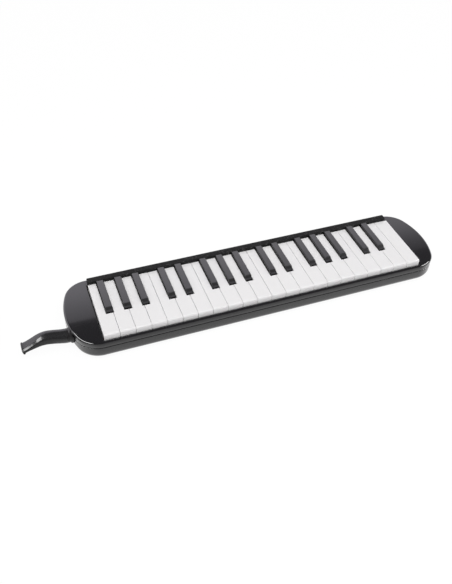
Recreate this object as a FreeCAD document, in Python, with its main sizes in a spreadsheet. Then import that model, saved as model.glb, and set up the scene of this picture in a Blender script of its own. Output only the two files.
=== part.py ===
"""A 37-key melodica: a flat wind keyboard with a three-arc case, sprung keys and a plug-in mouthpiece.

Frame, in millimetres: the origin is at the centre of the flat underside, +Z is up, +X runs towards the
treble end and +Y towards the back. The mouthpiece leaves the bass end, towards -X.
"""
import FreeCAD, Part
import math
import os

import Sketcher

DOC = FreeCAD.newDocument("melodica")

# Driving dimensions: alias in the spreadsheet, value, meaning.
DRIVING = [
    ("case_length", 423.4, "case, end to end"),
    ("case_depth", 96.0, "case, front to back"),
    ("end_radius", 86.0, "large arc of each end"),
    ("corner_radius", 26.0, "arc that joins the large arc to the straight side"),
    ("wall", 2.2, "case wall"),
    ("lower_height", 15.5, "height of the parting line"),
    ("parting_gap", 0.6, "shadow line between the case halves"),
    ("lip_height", 1.8, "tongue of the lower half above the parting line"),
    ("cover_top", 23.0, "flat top of the upper half"),
    ("cover_plate", 2.0, "thickness of the upper half's top"),
    ("cover_round", 2.4, "rounding of the upper half's top edge"),
    ("base_round", 8.0, "rounding of the lower half's bottom edge"),
    ("key_top", 29.5, "top of the white keys"),
    ("white_pitch", 16.4, "white key spacing"),
    ("semitone", 9.567, "lever spacing, one semitone"),
    ("lever_inset", 3.6, "first lever from the keyboard's left edge"),
    ("key_gap", 0.5, "gap between two white keys"),
    ("black_gap", 0.6, "gap beside a black key"),
    ("black_front_gap", 1.2, "gap in front of a black key, whose top swings forward"),
    ("key_front", -44.4, "front face of the white keys"),
    ("key_back", 31.4, "rear end of all keys, at the strip"),
    ("front_round", 2.0, "rounding of a white key's front edge"),
    ("apron_bottom", 21.0, "lower edge of a white key's front"),
    ("skirt_bottom", 22.5, "lower edge of the key sides"),
    ("key_wall", 1.2, "wall of a hollow key"),
    ("key_plate", 1.8, "top of a hollow key"),
    ("black_width", 7.2, "black key"),
    ("black_front", -15.0, "foot of a black key's front"),
    ("black_top", 32.8, "top of the black keys"),
    ("black_top_front", -10.7, "front end of a black key's flat top"),
    ("ledge_back", -12.6, "black key, back of the small front ledge"),
    ("ledge_height", 30.5, "black key, height of the ledge"),
    ("black_round", 0.6, "rounding along a black key's top"),
    ("pivot_y", 10.0, "key pivot, from the front"),
    ("pivot_z", 20.0, "key pivot, height"),
    ("rod_radius", 1.0, "pivot rod"),
    ("bore_play", 0.05, "radial play of a key on the rod"),
    ("hub_radius", 2.2, "hub of a key lever"),
    ("lever_width", 4.0, "key lever and hub"),
    ("lever_bottom", 19.1, "underside of the lever's tail"),
    ("lever_end", 37.4, "rear end of the lever's tail"),
    ("pallet_front", 31.2, "front edge of a valve pad"),
    ("pallet_width", 6.8, "valve pad"),
    ("bed_top", 16.5, "top of the key bed, where the pads seal"),
    ("bed_plate", 2.0, "front plate of the key bed"),
    ("board_thick", 3.5, "rear board of the key bed"),
    ("bed_half", 183.0, "half length of the key bed"),
    ("strip_half", 180.0, "half length of the rear strip"),
    ("strip_front", 31.8, "front face of the rear strip"),
    ("strip_back", 39.8, "back face of the rear strip"),
    ("strip_top", 33.2, "top of the rear strip"),
    ("strip_lip", 28.5, "lower edge of the rear strip's front"),
    ("strip_wall", 1.4, "wall of the rear strip"),
    ("strip_round", 2.2, "rounding of the rear strip's back edge"),
    ("opening_front", -45.0, "front edge of the keyboard opening"),
    ("opening_half", 181.0, "half length of the keyboard opening"),
    ("chest_front", -25.0, "front of the wind chest"),
    ("chest_back", 40.0, "back of the wind chest"),
    ("chest_bottom", 3.6, "underside of the wind chest"),
    ("chest_top", 12.2, "rim of the wind chest"),
    ("chest_wall", 2.0, "wall of the wind chest"),
    ("flange_width", 4.0, "screw flange of the wind chest"),
    ("reed_plate", 1.0, "thickness of a reed plate"),
    ("reed_root", 29.0, "rear end of the reed slots"),
    ("longest_reed", 27.0, "lowest reed, free length"),
    ("shortest_reed", 11.0, "highest reed, free length"),
    ("slot_width", 2.4, "reed slot"),
    ("socket_y", -17.5, "mouthpiece socket axis, from the front"),
    ("socket_z", 13.4, "mouthpiece socket axis, height"),
    ("collar_radius", 7.5, "collar of the mouthpiece socket"),
    ("collar_end", -214.0, "outer end of the collar"),
    ("plug_radius", 4.95, "mouthpiece plug"),
    ("socket_radius", 5.0, "bore of the socket"),
    ("drain_z", 9.0, "drain valve and stem, height"),
    ("button_z", 10.6, "drain button axis, height"),
    ("drain_radius", 3.6, "drain button"),
    ("screw_radius", 1.3, "case screw shank"),
    ("head_radius", 2.7, "case screw head"),
]

KEY_COUNT = 37
OCTAVE = 12
WHITE_STEPS = (0, 2, 4, 6, 7, 9, 11)  # semitones above F that fall on white keys
NOTE_NAMES = ("f", "f_sharp", "g", "g_sharp", "a", "a_sharp", "b", "c", "c_sharp", "d", "d_sharp", "e")
FIRST_OCTAVE = 3
STEPS_TO_C = 7


class Size:
    """A length together with the spreadsheet expression that gives it."""

    def __init__(self, value, text):
        self.value = value
        self.text = text

    def __add__(self, other):
        return combine(self, "+", other)

    def __radd__(self, other):
        return combine(other, "+", self)

    def __sub__(self, other):
        return combine(self, "-", other)

    def __rsub__(self, other):
        return combine(other, "-", self)

    def __mul__(self, other):
        return combine(self, "*", other)

    def __rmul__(self, other):
        return combine(other, "*", self)

    def __truediv__(self, other):
        return combine(self, "/", other)

    def __neg__(self):
        return combine(0, "-", self)


def as_size(number):
    """A plain number as a Size."""
    if isinstance(number, Size):
        return number
    return Size(float(number), f"({float(number)!r})")


def combine(left, sign, right):
    """The Size of left sign right."""
    a = as_size(left)
    b = as_size(right)
    values = {
        "+": lambda: a.value + b.value,
        "-": lambda: a.value - b.value,
        "*": lambda: a.value * b.value,
        "/": lambda: a.value / b.value,
    }
    return Size(values[sign](), f"({a.text} {sign} {b.text})")


def root(number):
    """Square root of a Size."""
    return Size(math.sqrt(number.value), f"sqrt({number.text})")


class Sizes:
    """The driving dimensions, written to the spreadsheet and read back by name."""

    def __init__(self, rows):
        sheet = DOC.addObject("Spreadsheet::Sheet", "sizes")
        for line, (alias, value, meaning) in enumerate(rows, start=1):
            sheet.set(f"A{line}", meaning)
            sheet.set(f"B{line}", str(value))
            sheet.setAlias(f"B{line}", alias)
            setattr(self, alias, Size(value, f"sizes.{alias}"))


# ---------------------------------------------------------------- sketches and features


def bind(thing, path, size):
    """Bind a property of a document object to the spreadsheet."""
    thing.setExpression(path, as_size(size).text)


def new_body(label):
    """An empty body whose label names its part."""
    body = DOC.addObject("PartDesign::Body", label)
    body.Label = label
    return body


def new_sketch(body, plane, lift=0):
    """A sketch on one of the body's own origin planes, lifted along the plane's normal."""
    sketch = body.newObject("Sketcher::SketchObject", "sketch")
    support = [feature for feature in body.Origin.OriginFeatures if feature.Role == plane][0]
    sketch.AttachmentSupport = [(support, "")]
    sketch.MapMode = "FlatFace"
    sketch.AttachmentOffset = FreeCAD.Placement(FreeCAD.Vector(0, 0, as_size(lift).value), FreeCAD.Rotation())
    bind(sketch, "AttachmentOffset.Base.z", lift)
    return sketch


def hold_radius(sketch, edge, radius):
    """Hold the radius of an arc or a circle."""
    number = sketch.addConstraint(Sketcher.Constraint("Radius", edge, as_size(radius).value))
    bind(sketch, f"Constraints[{number}]", radius)


def hold_place(sketch, edge, point, x, y):
    """Hold one point of an edge (1 start, 2 end, 3 centre); None leaves a coordinate free."""
    for kind, coordinate in (("DistanceX", x), ("DistanceY", y)):
        if coordinate is not None:
            value = as_size(coordinate).value
            number = sketch.addConstraint(Sketcher.Constraint(kind, -1, 1, edge, point, value))
            bind(sketch, f"Constraints[{number}]", coordinate)


def draw_loop(sketch, corners, arcs=None):
    """Closed loop through corners; arcs maps a corner's index to the (centre, radius) of the arc after it."""
    arcs = arcs or {}
    points = [FreeCAD.Vector(as_size(x).value, as_size(y).value, 0) for x, y in corners]
    edges = []
    for index, start in enumerate(points):
        end = points[(index + 1) % len(points)]
        if index in arcs:
            edges.append(sketch.addGeometry(short_arc(start, end, *arcs[index]), False))
        else:
            edges.append(sketch.addGeometry(Part.LineSegment(start, end), False))
    for index, edge in enumerate(edges):
        following = edges[(index + 1) % len(edges)]
        leave = 1 if is_reversed(sketch, edge, points[index]) else 2
        arrive = 2 if is_reversed(sketch, following, points[(index + 1) % len(points)]) else 1
        sketch.addConstraint(Sketcher.Constraint("Coincident", edge, leave, following, arrive))
    for index, edge in enumerate(edges):
        if index in arcs:
            hold_curve(sketch, edge, points[index], points[(index + 1) % len(points)], arcs[index])
        corner = 2 if is_reversed(sketch, edge, points[index]) else 1
        hold_place(sketch, edge, corner, *corners[index])


def hold_curve(sketch, edge, start, end, arc):
    """Hold an arc between two held corners: by its radius, or by its centre when it is half a circle."""
    centre, radius = arc
    if abs((end - start).Length - 2 * as_size(radius).value) < 1e-6:
        hold_place(sketch, edge, 3, None, centre[1])
    else:
        hold_radius(sketch, edge, radius)


def short_arc(start, end, centre, radius):
    """The arc of under half a turn, or of half a turn through the lowest point, from start to end."""
    middle = FreeCAD.Vector(as_size(centre[0]).value, as_size(centre[1]).value, 0)
    chord = (start + end) / 2 - middle
    if chord.Length < 1e-6:
        chord = FreeCAD.Vector(0, -1, 0)
    return Part.Arc(start, middle + chord.normalize() * as_size(radius).value, end)


def is_reversed(sketch, edge, start):
    """Whether a sketch edge runs towards, not away from, the corner that it was drawn from."""
    return (sketch.getPoint(edge, 1) - start).Length > 1e-5


def draw_box(sketch, low, high):
    """Rectangle between two corners."""
    draw_loop(sketch, [low, (high[0], low[1]), high, (low[0], high[1])])


def draw_circle(sketch, centre, radius):
    """Circle with a held centre and radius."""
    middle = FreeCAD.Vector(as_size(centre[0]).value, as_size(centre[1]).value, 0)
    upright = FreeCAD.Vector(0, 0, 1)
    edge = sketch.addGeometry(Part.Circle(middle, upright, as_size(radius).value), False)
    hold_place(sketch, edge, 3, *centre)
    hold_radius(sketch, edge, radius)


def draw_hexagon(sketch, centre, flat_radius):
    """Six-sided outline round a circle, for the small holes that are moulded with flats."""
    flat = as_size(flat_radius)
    corner = flat * (2 / math.sqrt(3))
    x, y = centre
    draw_loop(sketch, [
        (x + corner, y), (x + corner / 2, y + flat), (x - corner / 2, y + flat),
        (x - corner, y), (x - corner / 2, y - flat), (x + corner / 2, y - flat),
    ])


def pad(body, sketch, length):
    """Material from a sketch along its normal."""
    feature = body.newObject("PartDesign::Pad", "pad")
    feature.Profile = sketch
    feature.Length = as_size(length).value
    bind(feature, "Length", length)
    return feature


def pocket(body, sketch, length, upwards=False):
    """Cut from a sketch against its normal, or along it when upwards is set."""
    feature = body.newObject("PartDesign::Pocket", "pocket")
    feature.Profile = sketch
    feature.Length = as_size(length).value
    feature.Reversed = upwards
    bind(feature, "Length", length)
    return feature


def repeat_along_x(body, feature, pitch, count):
    """Repeat a feature along +X; the pattern becomes the body's tip."""
    pattern = body.newObject("PartDesign::LinearPattern", "pattern")
    pattern.Originals = [feature]
    axis = [item for item in body.Origin.OriginFeatures if item.Role == "X_Axis"][0]
    pattern.Direction = (axis, [""])
    pattern.Length = as_size(pitch).value * (count - 1)
    bind(pattern, "Length", pitch * (count - 1))
    pattern.Occurrences = count
    body.Tip = pattern
    return pattern


def round_edges(body, feature, radius, chosen):
    """Fillet the edges of a feature that pass a test on their bounding box."""
    DOC.recompute()
    edges = feature.Shape.Edges
    names = [f"Edge{number}" for number, edge in enumerate(edges, start=1) if chosen(edge.BoundBox)]
    fillet = body.newObject("PartDesign::Fillet", "fillet")
    fillet.Base = (feature, names)
    fillet.Radius = as_size(radius).value
    bind(fillet, "Radius", radius)
    return fillet


def bevel_edges(body, feature, width, chosen):
    """Chamfer the edges of a feature that pass a test on their bounding box."""
    DOC.recompute()
    edges = feature.Shape.Edges
    names = [f"Edge{number}" for number, edge in enumerate(edges, start=1) if chosen(edge.BoundBox)]
    bevel = body.newObject("PartDesign::Chamfer", "bevel")
    bevel.Base = (feature, names)
    bevel.Size = as_size(width).value
    bind(bevel, "Size", width)
    return bevel


def pad_box(body, low, high):
    """Block between two corners."""
    sketch = new_sketch(body, "XY_Plane", low[2])
    draw_box(sketch, low[:2], high[:2])
    return pad(body, sketch, high[2] - as_size(low[2]))


def cut_box(body, low, high):
    """Rectangular cut between two corners."""
    sketch = new_sketch(body, "XY_Plane", low[2])
    draw_box(sketch, low[:2], high[:2])
    return pocket(body, sketch, high[2] - as_size(low[2]), upwards=True)


def pad_across(body, start_x, end_x, corners, arcs=None):
    """Side profile, given as (y, z) corners, made solid from one x to another."""
    sketch = new_sketch(body, "YZ_Plane", start_x)
    draw_loop(sketch, corners, arcs)
    return pad(body, sketch, end_x - as_size(start_x))


def cut_seat(body, centre, corner_radius, low, high):
    """Upright hole with as many sides as a screw head."""
    x, y = centre
    radius = as_size(corner_radius)
    turns = [2 * math.pi * side / HEAD_SIDES for side in range(HEAD_SIDES)]
    sketch = new_sketch(body, "XY_Plane", low)
    draw_loop(sketch, [(x + radius * math.cos(turn), y + radius * math.sin(turn)) for turn in turns])
    return pocket(body, sketch, high - as_size(low), upwards=True)


def cut_pilot(body, centre, flat_radius, low, high):
    """Upright six-sided hole."""
    sketch = new_sketch(body, "XY_Plane", low)
    draw_hexagon(sketch, (as_size(centre[0]), as_size(centre[1])), flat_radius)
    return pocket(body, sketch, high - as_size(low), upwards=True)


def pad_bar(body, centre, radius, start_x, end_x):
    """Round bar along X, with its centre given as (y, z)."""
    sketch = new_sketch(body, "YZ_Plane", start_x)
    draw_circle(sketch, centre, radius)
    return pad(body, sketch, end_x - as_size(start_x))


def cut_bore(body, centre, radius, start_x, end_x):
    """Round bore along X, with its centre given as (y, z)."""
    sketch = new_sketch(body, "YZ_Plane", start_x)
    draw_circle(sketch, centre, radius)
    return pocket(body, sketch, end_x - as_size(start_x), upwards=True)


def cut_rod_bore(body, size, play, start_x, end_x):
    """Six-sided bore for the pivot rod, which touches the rod on its flats."""
    sketch = new_sketch(body, "YZ_Plane", start_x)
    draw_hexagon(sketch, (size.pivot_y, size.pivot_z), size.rod_radius + play)
    return pocket(body, sketch, end_x - as_size(start_x), upwards=True)


def draw_case_outline(sketch, size, inset=0):
    """The case outline in plan, moved inwards: straight sides, small corner arcs and a large arc at each end."""
    big = size.end_radius - inset
    small = size.corner_radius - inset
    centre_x = size.case_length / 2 - size.end_radius
    corner_y = size.case_depth / 2 - size.corner_radius
    spread = size.end_radius - size.corner_radius
    corner_x = centre_x + root(spread * spread - corner_y * corner_y)
    join_x = centre_x + (corner_x - centre_x) * big / spread
    join_y = corner_y * big / spread
    side = size.case_depth / 2 - inset
    corners = [
        (-corner_x, -side), (corner_x, -side), (join_x, -join_y), (join_x, join_y),
        (corner_x, side), (-corner_x, side), (-join_x, join_y), (-join_x, -join_y),
    ]
    arcs = {
        1: ((corner_x, -corner_y), small),
        2: ((centre_x, 0), big),
        3: ((corner_x, corner_y), small),
        5: ((-corner_x, corner_y), small),
        6: ((-centre_x, 0), big),
        7: ((-corner_x, -corner_y), small),
    }
    draw_loop(sketch, corners, arcs)


def pad_case_outline(body, size, low, high, inset=0):
    """Block of the case outline between two heights."""
    sketch = new_sketch(body, "XY_Plane", low)
    draw_case_outline(sketch, size, inset)
    return pad(body, sketch, high - as_size(low))


def cut_case_outline(body, size, low, high, inset):
    """Cut of the inset case outline between two heights."""
    sketch = new_sketch(body, "XY_Plane", low)
    draw_case_outline(sketch, size, inset)
    return pocket(body, sketch, high - as_size(low), upwards=True)


# ---------------------------------------------------------------- places shared by several parts


def is_white(step):
    """Whether the key so many semitones above the lowest F is white."""
    return step % OCTAVE in WHITE_STEPS


def white_index(step):
    """How many white keys lie to the left of this one."""
    return sum(is_white(below) for below in range(step))


def key_label(step):
    """Name of a key's node, such as key_f3 or key_c_sharp_4."""
    octave = FIRST_OCTAVE + (step + OCTAVE - STEPS_TO_C) // OCTAVE
    name = NOTE_NAMES[step % OCTAVE]
    return f"key_{name}_{octave}" if "sharp" in name else f"key_{name}{octave}"


def keyboard_left(size):
    """Left edge of the keyboard."""
    return -(size.white_pitch * WHITE_COUNT) / 2


def lever_x(size, step):
    """Centre line of a key's lever: all levers stand on one even semitone grid."""
    return keyboard_left(size) + size.lever_inset + size.semitone * step


WHITE_COUNT = sum(is_white(step) for step in range(KEY_COUNT))
SCREW_SPOTS_END = [(-188, -33), (188, -33), (-188, 33), (188, 33)]
SCREW_SPOTS_BED = [(-120, -35), (-40, -35), (40, -35), (120, -35)]
ROD_END_EAR = (-180.9, -179.3)
CHEST_SCREW_X = (-150, 0, 150)
CHEST_SCREW_Y = (-27, 42)
POST_HALF = 3.4
HEAD_SIDES = 12
SLOT_GROUPS = (-97.5, 62.5)
SLOT_COUNT = 8
SLOT_PITCH = 5.0


# ---------------------------------------------------------------- case


def make_lower_case(size):
    """Tray with a rounded bottom edge, a tongue at the rim, screw posts and sound slots."""
    body = new_body("lower_case")
    pad_case_outline(body, size, 0, size.lower_height)
    rim = size.lower_height + size.lip_height
    tongue_inset = size.wall / 2 + 0.1
    pad_case_outline(body, size, size.lower_height, rim, tongue_inset)
    hollow = cut_case_outline(body, size, size.wall, rim, size.wall)
    floor = size.wall.value
    inner = bevel_edges(
        body, hollow, size.base_round - size.wall * 1.5,
        lambda box: abs(box.ZMin - floor) < 0.01 and abs(box.ZMax - floor) < 0.01,
    )
    round_edges(body, inner, size.base_round, lambda box: box.ZMax < 0.01)
    add_case_posts(body, size)
    add_floor_ribs(body, size)
    add_sound_slots(body, size)
    hole_play = 0.1
    cut_bore(body, (size.socket_y, size.socket_z), size.collar_radius + hole_play, -216, -202)
    cut_bore(body, (0, size.button_z), size.drain_radius + 2 * hole_play, 206, 214)
    return body


def add_case_posts(body, size):
    """Screw posts: four carry the upper half and four the key bed, each with a sunk head and a pilot hole."""
    head_depth = 3.0
    play = 0.15
    bed_underside = size.bed_top - size.bed_plate
    posts = [(spot, size.lower_height) for spot in SCREW_SPOTS_END]
    posts += [(spot, bed_underside) for spot in SCREW_SPOTS_BED]
    for spot, top in posts:
        pad_square_post(body, spot, 1.0, top)
    for spot, top in posts:
        cut_pilot(body, spot, size.screw_radius + play, 0, top)
        cut_seat(body, spot, size.head_radius + play, 0, head_depth)


def pad_square_post(body, spot, low, high):
    """Upright square post round a screw."""
    x, y = spot
    return pad_box(body, (x - POST_HALF, y - POST_HALF, low), (x + POST_HALF, y + POST_HALF, high))


def add_floor_ribs(body, size):
    """Low ribs that carry the wind chest."""
    half_length = 170
    rib = 1.6
    for y in (-16, 8, 32):
        pad_box(body, (-half_length, y, 1.0), (half_length, y + rib, size.chest_bottom))


def add_sound_slots(body, size):
    """Two groups of slots through the floor, in front of the wind chest."""
    slot_width = 2.4
    for start in SLOT_GROUPS:
        slot = cut_box(body, (start, -39, 0), (start + slot_width, -31, size.wall))
        repeat_along_x(body, slot, as_size(SLOT_PITCH), SLOT_COUNT)


def make_upper_case(size):
    """Cover with a rounded top edge and the keyboard opening, rebated over the lower half's tongue."""
    body = new_body("upper_case")
    underside = size.lower_height + size.parting_gap
    block = pad_case_outline(body, size, underside, size.cover_top)
    top = size.cover_top.value
    round_edges(body, block, size.cover_round, lambda box: box.ZMin > top - 0.01)
    cut_case_outline(body, size, underside, size.cover_top - size.cover_plate, size.wall)
    cut_case_outline(body, size, underside, size.lower_height + size.lip_height, size.wall / 2)
    cut_box(
        body, (-size.opening_half, size.opening_front, size.lower_height),
        (size.opening_half, size.strip_back - size.strip_wall, size.cover_top + 1),
    )
    for spot in SCREW_SPOTS_END:
        pad_square_post(body, spot, size.lower_height, size.cover_top - 1)
        cut_pilot(body, spot, size.screw_radius, size.lower_height, size.cover_top - size.cover_plate)
    hole_play = 0.1
    cut_bore(body, (size.socket_y, size.socket_z), size.collar_radius + hole_play, -216, -202)
    return body


def make_rear_strip(size):
    """Raised channel behind the keys that covers the levers' tails and the valve pads."""
    body = new_body("rear_strip")
    front = size.strip_front
    back = size.strip_back
    top = size.strip_top
    foot = size.cover_top
    curve = size.strip_round
    corners = [(front, foot), (front, top), (back - curve, top), (back, top - curve), (back, foot)]
    block = pad_across(
        body, -size.strip_half, size.strip_half, corners,
        {2: ((back - curve, top - curve), curve)},
    )
    end = size.strip_half.value
    high = top.value
    bevel_edges(
        body, block, 0.8,
        lambda box: box.ZMin > high - 3 and box.XMax - box.XMin < 0.01 and abs(abs(box.XMin) - end) < 0.01,
    )
    wall = size.strip_wall
    end_wall = 0.8
    inner = size.strip_half - end_wall
    sketch = new_sketch(body, "YZ_Plane", -inner)
    draw_loop(sketch, [
        (front - 1, foot), (back - wall, foot), (back - wall, top - wall), (front + wall, top - wall),
        (front + wall, size.strip_lip), (front - 1, size.strip_lip),
    ])
    pocket(body, sketch, inner * 2, upwards=True)
    return body


# ---------------------------------------------------------------- keys


def white_edges(size, step):
    """Left and right edges of a white key at the front and between the black keys, from its lever's centre."""
    left = keyboard_left(size) + size.white_pitch * white_index(step) + size.key_gap / 2 - lever_x(size, step)
    right = left + size.white_pitch - size.key_gap
    clear = size.semitone - size.black_width / 2 - size.black_gap
    left_black = step > 0 and not is_white(step - 1)
    right_black = step + 1 < KEY_COUNT and not is_white(step + 1)
    stem_left = -clear if left_black else left
    stem_right = clear if right_black else right
    return left, right, stem_left, stem_right


def make_white_key(size, step):
    """Hollow white key: plate, front apron and skirts, notched for the black keys beside it."""
    body = new_body(key_label(step) + "_lever")
    left, right, stem_left, stem_right = white_edges(size, step)
    front = size.key_front
    top = size.key_top
    curve = size.front_round
    inner_front = front + size.key_wall
    corners = [
        (front, size.apron_bottom), (front, top - curve), (front + curve, top), (size.key_back, top),
        (size.key_back, size.skirt_bottom), (inner_front, size.skirt_bottom), (inner_front, size.apron_bottom),
    ]
    pad_across(body, left, right, corners, {1: ((front + curve, top - curve), curve)})
    cut_notches(body, size, left, right, stem_left, stem_right)
    roof = top - size.key_plate
    hollow_white_key(body, size, (left, right, stem_left, stem_right), roof)
    add_lever(body, size, roof)
    return body


def cut_notches(body, size, left, right, stem_left, stem_right):
    """Room beside the stem for the neighbouring black keys."""
    shoulder = size.black_front - size.black_front_gap
    beyond = size.key_back + 1
    notches = []
    if stem_left is not left:
        notches.append((left - 1, stem_left))
    if stem_right is not right:
        notches.append((stem_right, right + 1))
    if notches:
        sketch = new_sketch(body, "XY_Plane", size.skirt_bottom - 1)
        for low, high in notches:
            draw_box(sketch, (low, shoulder), (high, beyond))
        pocket(body, sketch, size.key_top - size.skirt_bottom + 2, upwards=True)


def hollow_white_key(body, size, edges, roof):
    """Cut the inside of a white key, an even wall in from its outline."""
    left, right, stem_left, stem_right = edges
    wall = size.key_wall
    front = size.key_front + wall
    back = size.key_back - wall
    shoulder = size.black_front - size.black_front_gap - wall
    corners = [(left + wall, front), (right - wall, front)]
    if stem_right is not right:
        corners.append((right - wall, shoulder))
        corners.append((stem_right - wall, shoulder))
    corners += [(stem_right - wall, back), (stem_left + wall, back)]
    if stem_left is not left:
        corners.append((stem_left + wall, shoulder))
        corners.append((left + wall, shoulder))
    sketch = new_sketch(body, "XY_Plane", size.skirt_bottom)
    draw_loop(sketch, corners)
    pocket(body, sketch, roof - size.skirt_bottom, upwards=True)


def make_black_key(size, step):
    """Hollow black key: flat top, steep front slope, small ledge and upright foot."""
    body = new_body(key_label(step) + "_lever")
    half = size.black_width / 2
    foot = size.black_front
    nose = 0.5
    corners = [
        (foot, size.skirt_bottom), (foot, size.ledge_height - nose), (foot + nose, size.ledge_height),
        (size.ledge_back, size.ledge_height + nose), (size.black_top_front, size.black_top),
        (size.key_back, size.black_top), (size.key_back, size.skirt_bottom),
    ]
    block = pad_across(body, -half, half, corners)
    low = size.ledge_height.value - nose - 0.01
    side = half.value
    bevel_edges(
        body, block, size.black_round,
        lambda box: box.ZMin > low and box.XMax - box.XMin < 0.01 and abs(abs(box.XMin) - side) < 0.01
        and box.YMax - box.YMin > 0.6,
    )
    wall = size.key_wall
    roof = size.black_top - size.key_plate
    slope_room = 4.0
    cut_box(
        body, (wall - half, foot + wall + slope_room / 2, size.skirt_bottom),
        (half - wall, size.key_back - wall, size.ledge_height - wall),
    )
    cut_box(
        body, (wall - half, foot + wall + slope_room, size.skirt_bottom),
        (half - wall, size.key_back - wall, roof),
    )
    add_lever(body, size, roof)
    return body


def add_lever(body, size, roof):
    """Spring seat, hub on the pivot rod, and the web and tail that lift the valve pad."""
    seat_half = 1.4
    overlap = 0.2
    pad_box(body, (-seat_half, -7, size.skirt_bottom), (seat_half, -5, roof + overlap))
    half = size.lever_width / 2
    hub = size.hub_radius
    y = size.pivot_y
    z = size.pivot_z
    tail_top = size.skirt_bottom + 0.5
    low = z - hub
    corners = [
        (y - hub, z), (y - hub / 2, low), (y + hub / 2, low), (y + hub, z), (y + 5 * hub, size.lever_bottom),
        (size.lever_end, size.lever_bottom), (size.lever_end, tail_top - 1), (size.key_back - 0.4, tail_top),
        (size.key_back - 0.4, roof + overlap), (y - hub, roof + overlap),
    ]
    pad_across(body, -half, half, corners)
    cut_rod_bore(body, size, size.bore_play, -half - 1, half + 1)


def make_key(size, step):
    """One key: its lever in plastic and the valve pad glued under the tail, placed on the semitone grid."""
    lever = make_white_key(size, step) if is_white(step) else make_black_key(size, step)
    pallet = DOC.addObject("Part::Box", key_label(step) + "_pallet")
    half = size.pallet_width / 2
    bind(pallet, "Length", size.pallet_width)
    bind(pallet, "Width", size.lever_end - size.pallet_front)
    bind(pallet, "Height", size.lever_bottom - size.bed_top)
    bind(pallet, "Placement.Base.x", -half)
    bind(pallet, "Placement.Base.y", size.pallet_front)
    bind(pallet, "Placement.Base.z", size.bed_top)
    key = group_of(key_label(step), [lever, pallet])
    bind(key, "Placement.Base.x", lever_x(size, step))
    return key


# ---------------------------------------------------------------- key bed and what stands on it


def make_key_bed(size):
    """Frame moulding: front plate, rear board with a cell and a tone hole for each reed, and rod ears."""
    body = new_body("key_bed")
    front = -43.0
    board_front = -30.0
    back = 44.5
    half = size.bed_half
    board_bottom = size.bed_top - size.board_thick
    pad_box(body, (-half, front, size.bed_top - size.bed_plate), (half, back, size.bed_top))
    pad_box(body, (-half, board_front, board_bottom), (half, back, size.bed_top - size.bed_plate))
    cell_half = 3.4
    first = lever_x(size, 0)
    cell_front = size.reed_root - size.longest_reed - 1
    roof = size.bed_top - size.bed_plate + 0.3
    cell = cut_box(body, (first - cell_half, cell_front, board_bottom), (first + cell_half, 37, roof))
    repeat_along_x(body, cell, size.semitone, KEY_COUNT)
    hole_half = 2.0
    hole = cut_box(body, (first - hole_half, 32.6, board_bottom), (first + hole_half, 36, size.bed_top))
    repeat_along_x(body, hole, size.semitone, KEY_COUNT)
    add_rod_ears(body, size)
    for x, y in SCREW_SPOTS_BED:
        cut_pilot(body, (x, y), size.screw_radius, size.bed_top - size.bed_plate, size.bed_top)
    chest_shank = 1.25
    for x in CHEST_SCREW_X:
        for y in CHEST_SCREW_Y:
            cut_pilot(body, (x, y), chest_shank, board_bottom, size.bed_top - 1)
    return body


def add_rod_ears(body, size):
    """Ears that carry the pivot rod: one at each end and one between every sixth pair of hubs."""
    ear_half = 1.0
    reach = 3.0
    step = 6
    ear_top = size.pivot_z + 2
    y = size.pivot_y
    low = size.bed_top
    end_low, end_high = ROD_END_EAR
    pad_box(body, (end_low, y - reach, low), (end_high, y + reach, ear_top))
    second = lever_x(size, step) - size.semitone / 2
    ear = pad_box(body, (second - ear_half, y - reach, low), (second + ear_half, y + reach, ear_top))
    repeat_along_x(body, ear, size.semitone * step, KEY_COUNT // step)
    last = lever_x(size, KEY_COUNT) - size.semitone / 2
    pad_box(body, (last - ear_half, y - reach, low), (last + ear_half, y + reach, ear_top))
    cut_rod_bore(body, size, as_size(0.02), end_low - 1, last + 2)


def make_pivot_rod(size):
    """Steel rod on which all the keys turn."""
    body = new_body("pivot_rod")
    last = lever_x(size, KEY_COUNT) - size.semitone / 2 + 1
    pad_bar(body, (size.pivot_y, size.pivot_z), size.rod_radius, as_size(ROD_END_EAR[0]), last)
    return body


def make_guide_comb(size):
    """Strip with an upright tongue inside each key, which keeps the key straight."""
    body = new_body("guide_comb")
    base_top = size.bed_top + 1
    play = 0.3
    pad_box(body, (-size.strip_half, -28, size.bed_top), (size.strip_half, -9, base_top))
    for step in range(KEY_COUNT):
        centre = lever_x(size, step)
        if is_white(step):
            left, right, _, _ = white_edges(size, step)
            margin = size.key_wall + play
            low = (centre + left + margin, -26, size.bed_top)
            high = (centre + right - margin, -23.5, size.skirt_bottom + 2.3)
        else:
            half = size.black_width / 2 - size.key_wall - play
            low = (centre - half, -11.8, size.bed_top)
            high = (centre + half, -9.5, size.skirt_bottom + 3.5)
        pad_box(body, low, high)
    return body


def make_key_springs(size):
    """Spring strip with one bent finger under each key."""
    body = new_body("key_springs")
    thick = 0.4
    first = lever_x(size, 0)
    last = lever_x(size, KEY_COUNT - 1)
    margin = 3.0
    base = size.bed_top
    pad_box(body, (first - margin, 0, base), (last + margin, 5, base + thick))
    half = 1.2
    seat = size.skirt_bottom
    corners = [
        (1, base), (1, base + thick), (-5.4, seat), (-6.6, seat), (-6.6, seat - thick), (-5.6, seat - thick),
        (0, base),
    ]
    finger = pad_across(body, first - half, first + half, corners)
    repeat_along_x(body, finger, size.semitone, KEY_COUNT)
    return body


def make_stop_felt(size):
    """Felt on which the white keys land."""
    body = new_body("stop_felt")
    thick = 2.3
    pad_box(body, (-size.strip_half, -40, size.bed_top), (size.strip_half, -33, size.bed_top + thick))
    return body


# ---------------------------------------------------------------- wind chest and reeds


def reed_length(size, step):
    """Free length of a reed, from the lowest to the highest."""
    share = step / (KEY_COUNT - 1)
    return size.longest_reed + (size.shortest_reed - size.longest_reed) * share


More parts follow.
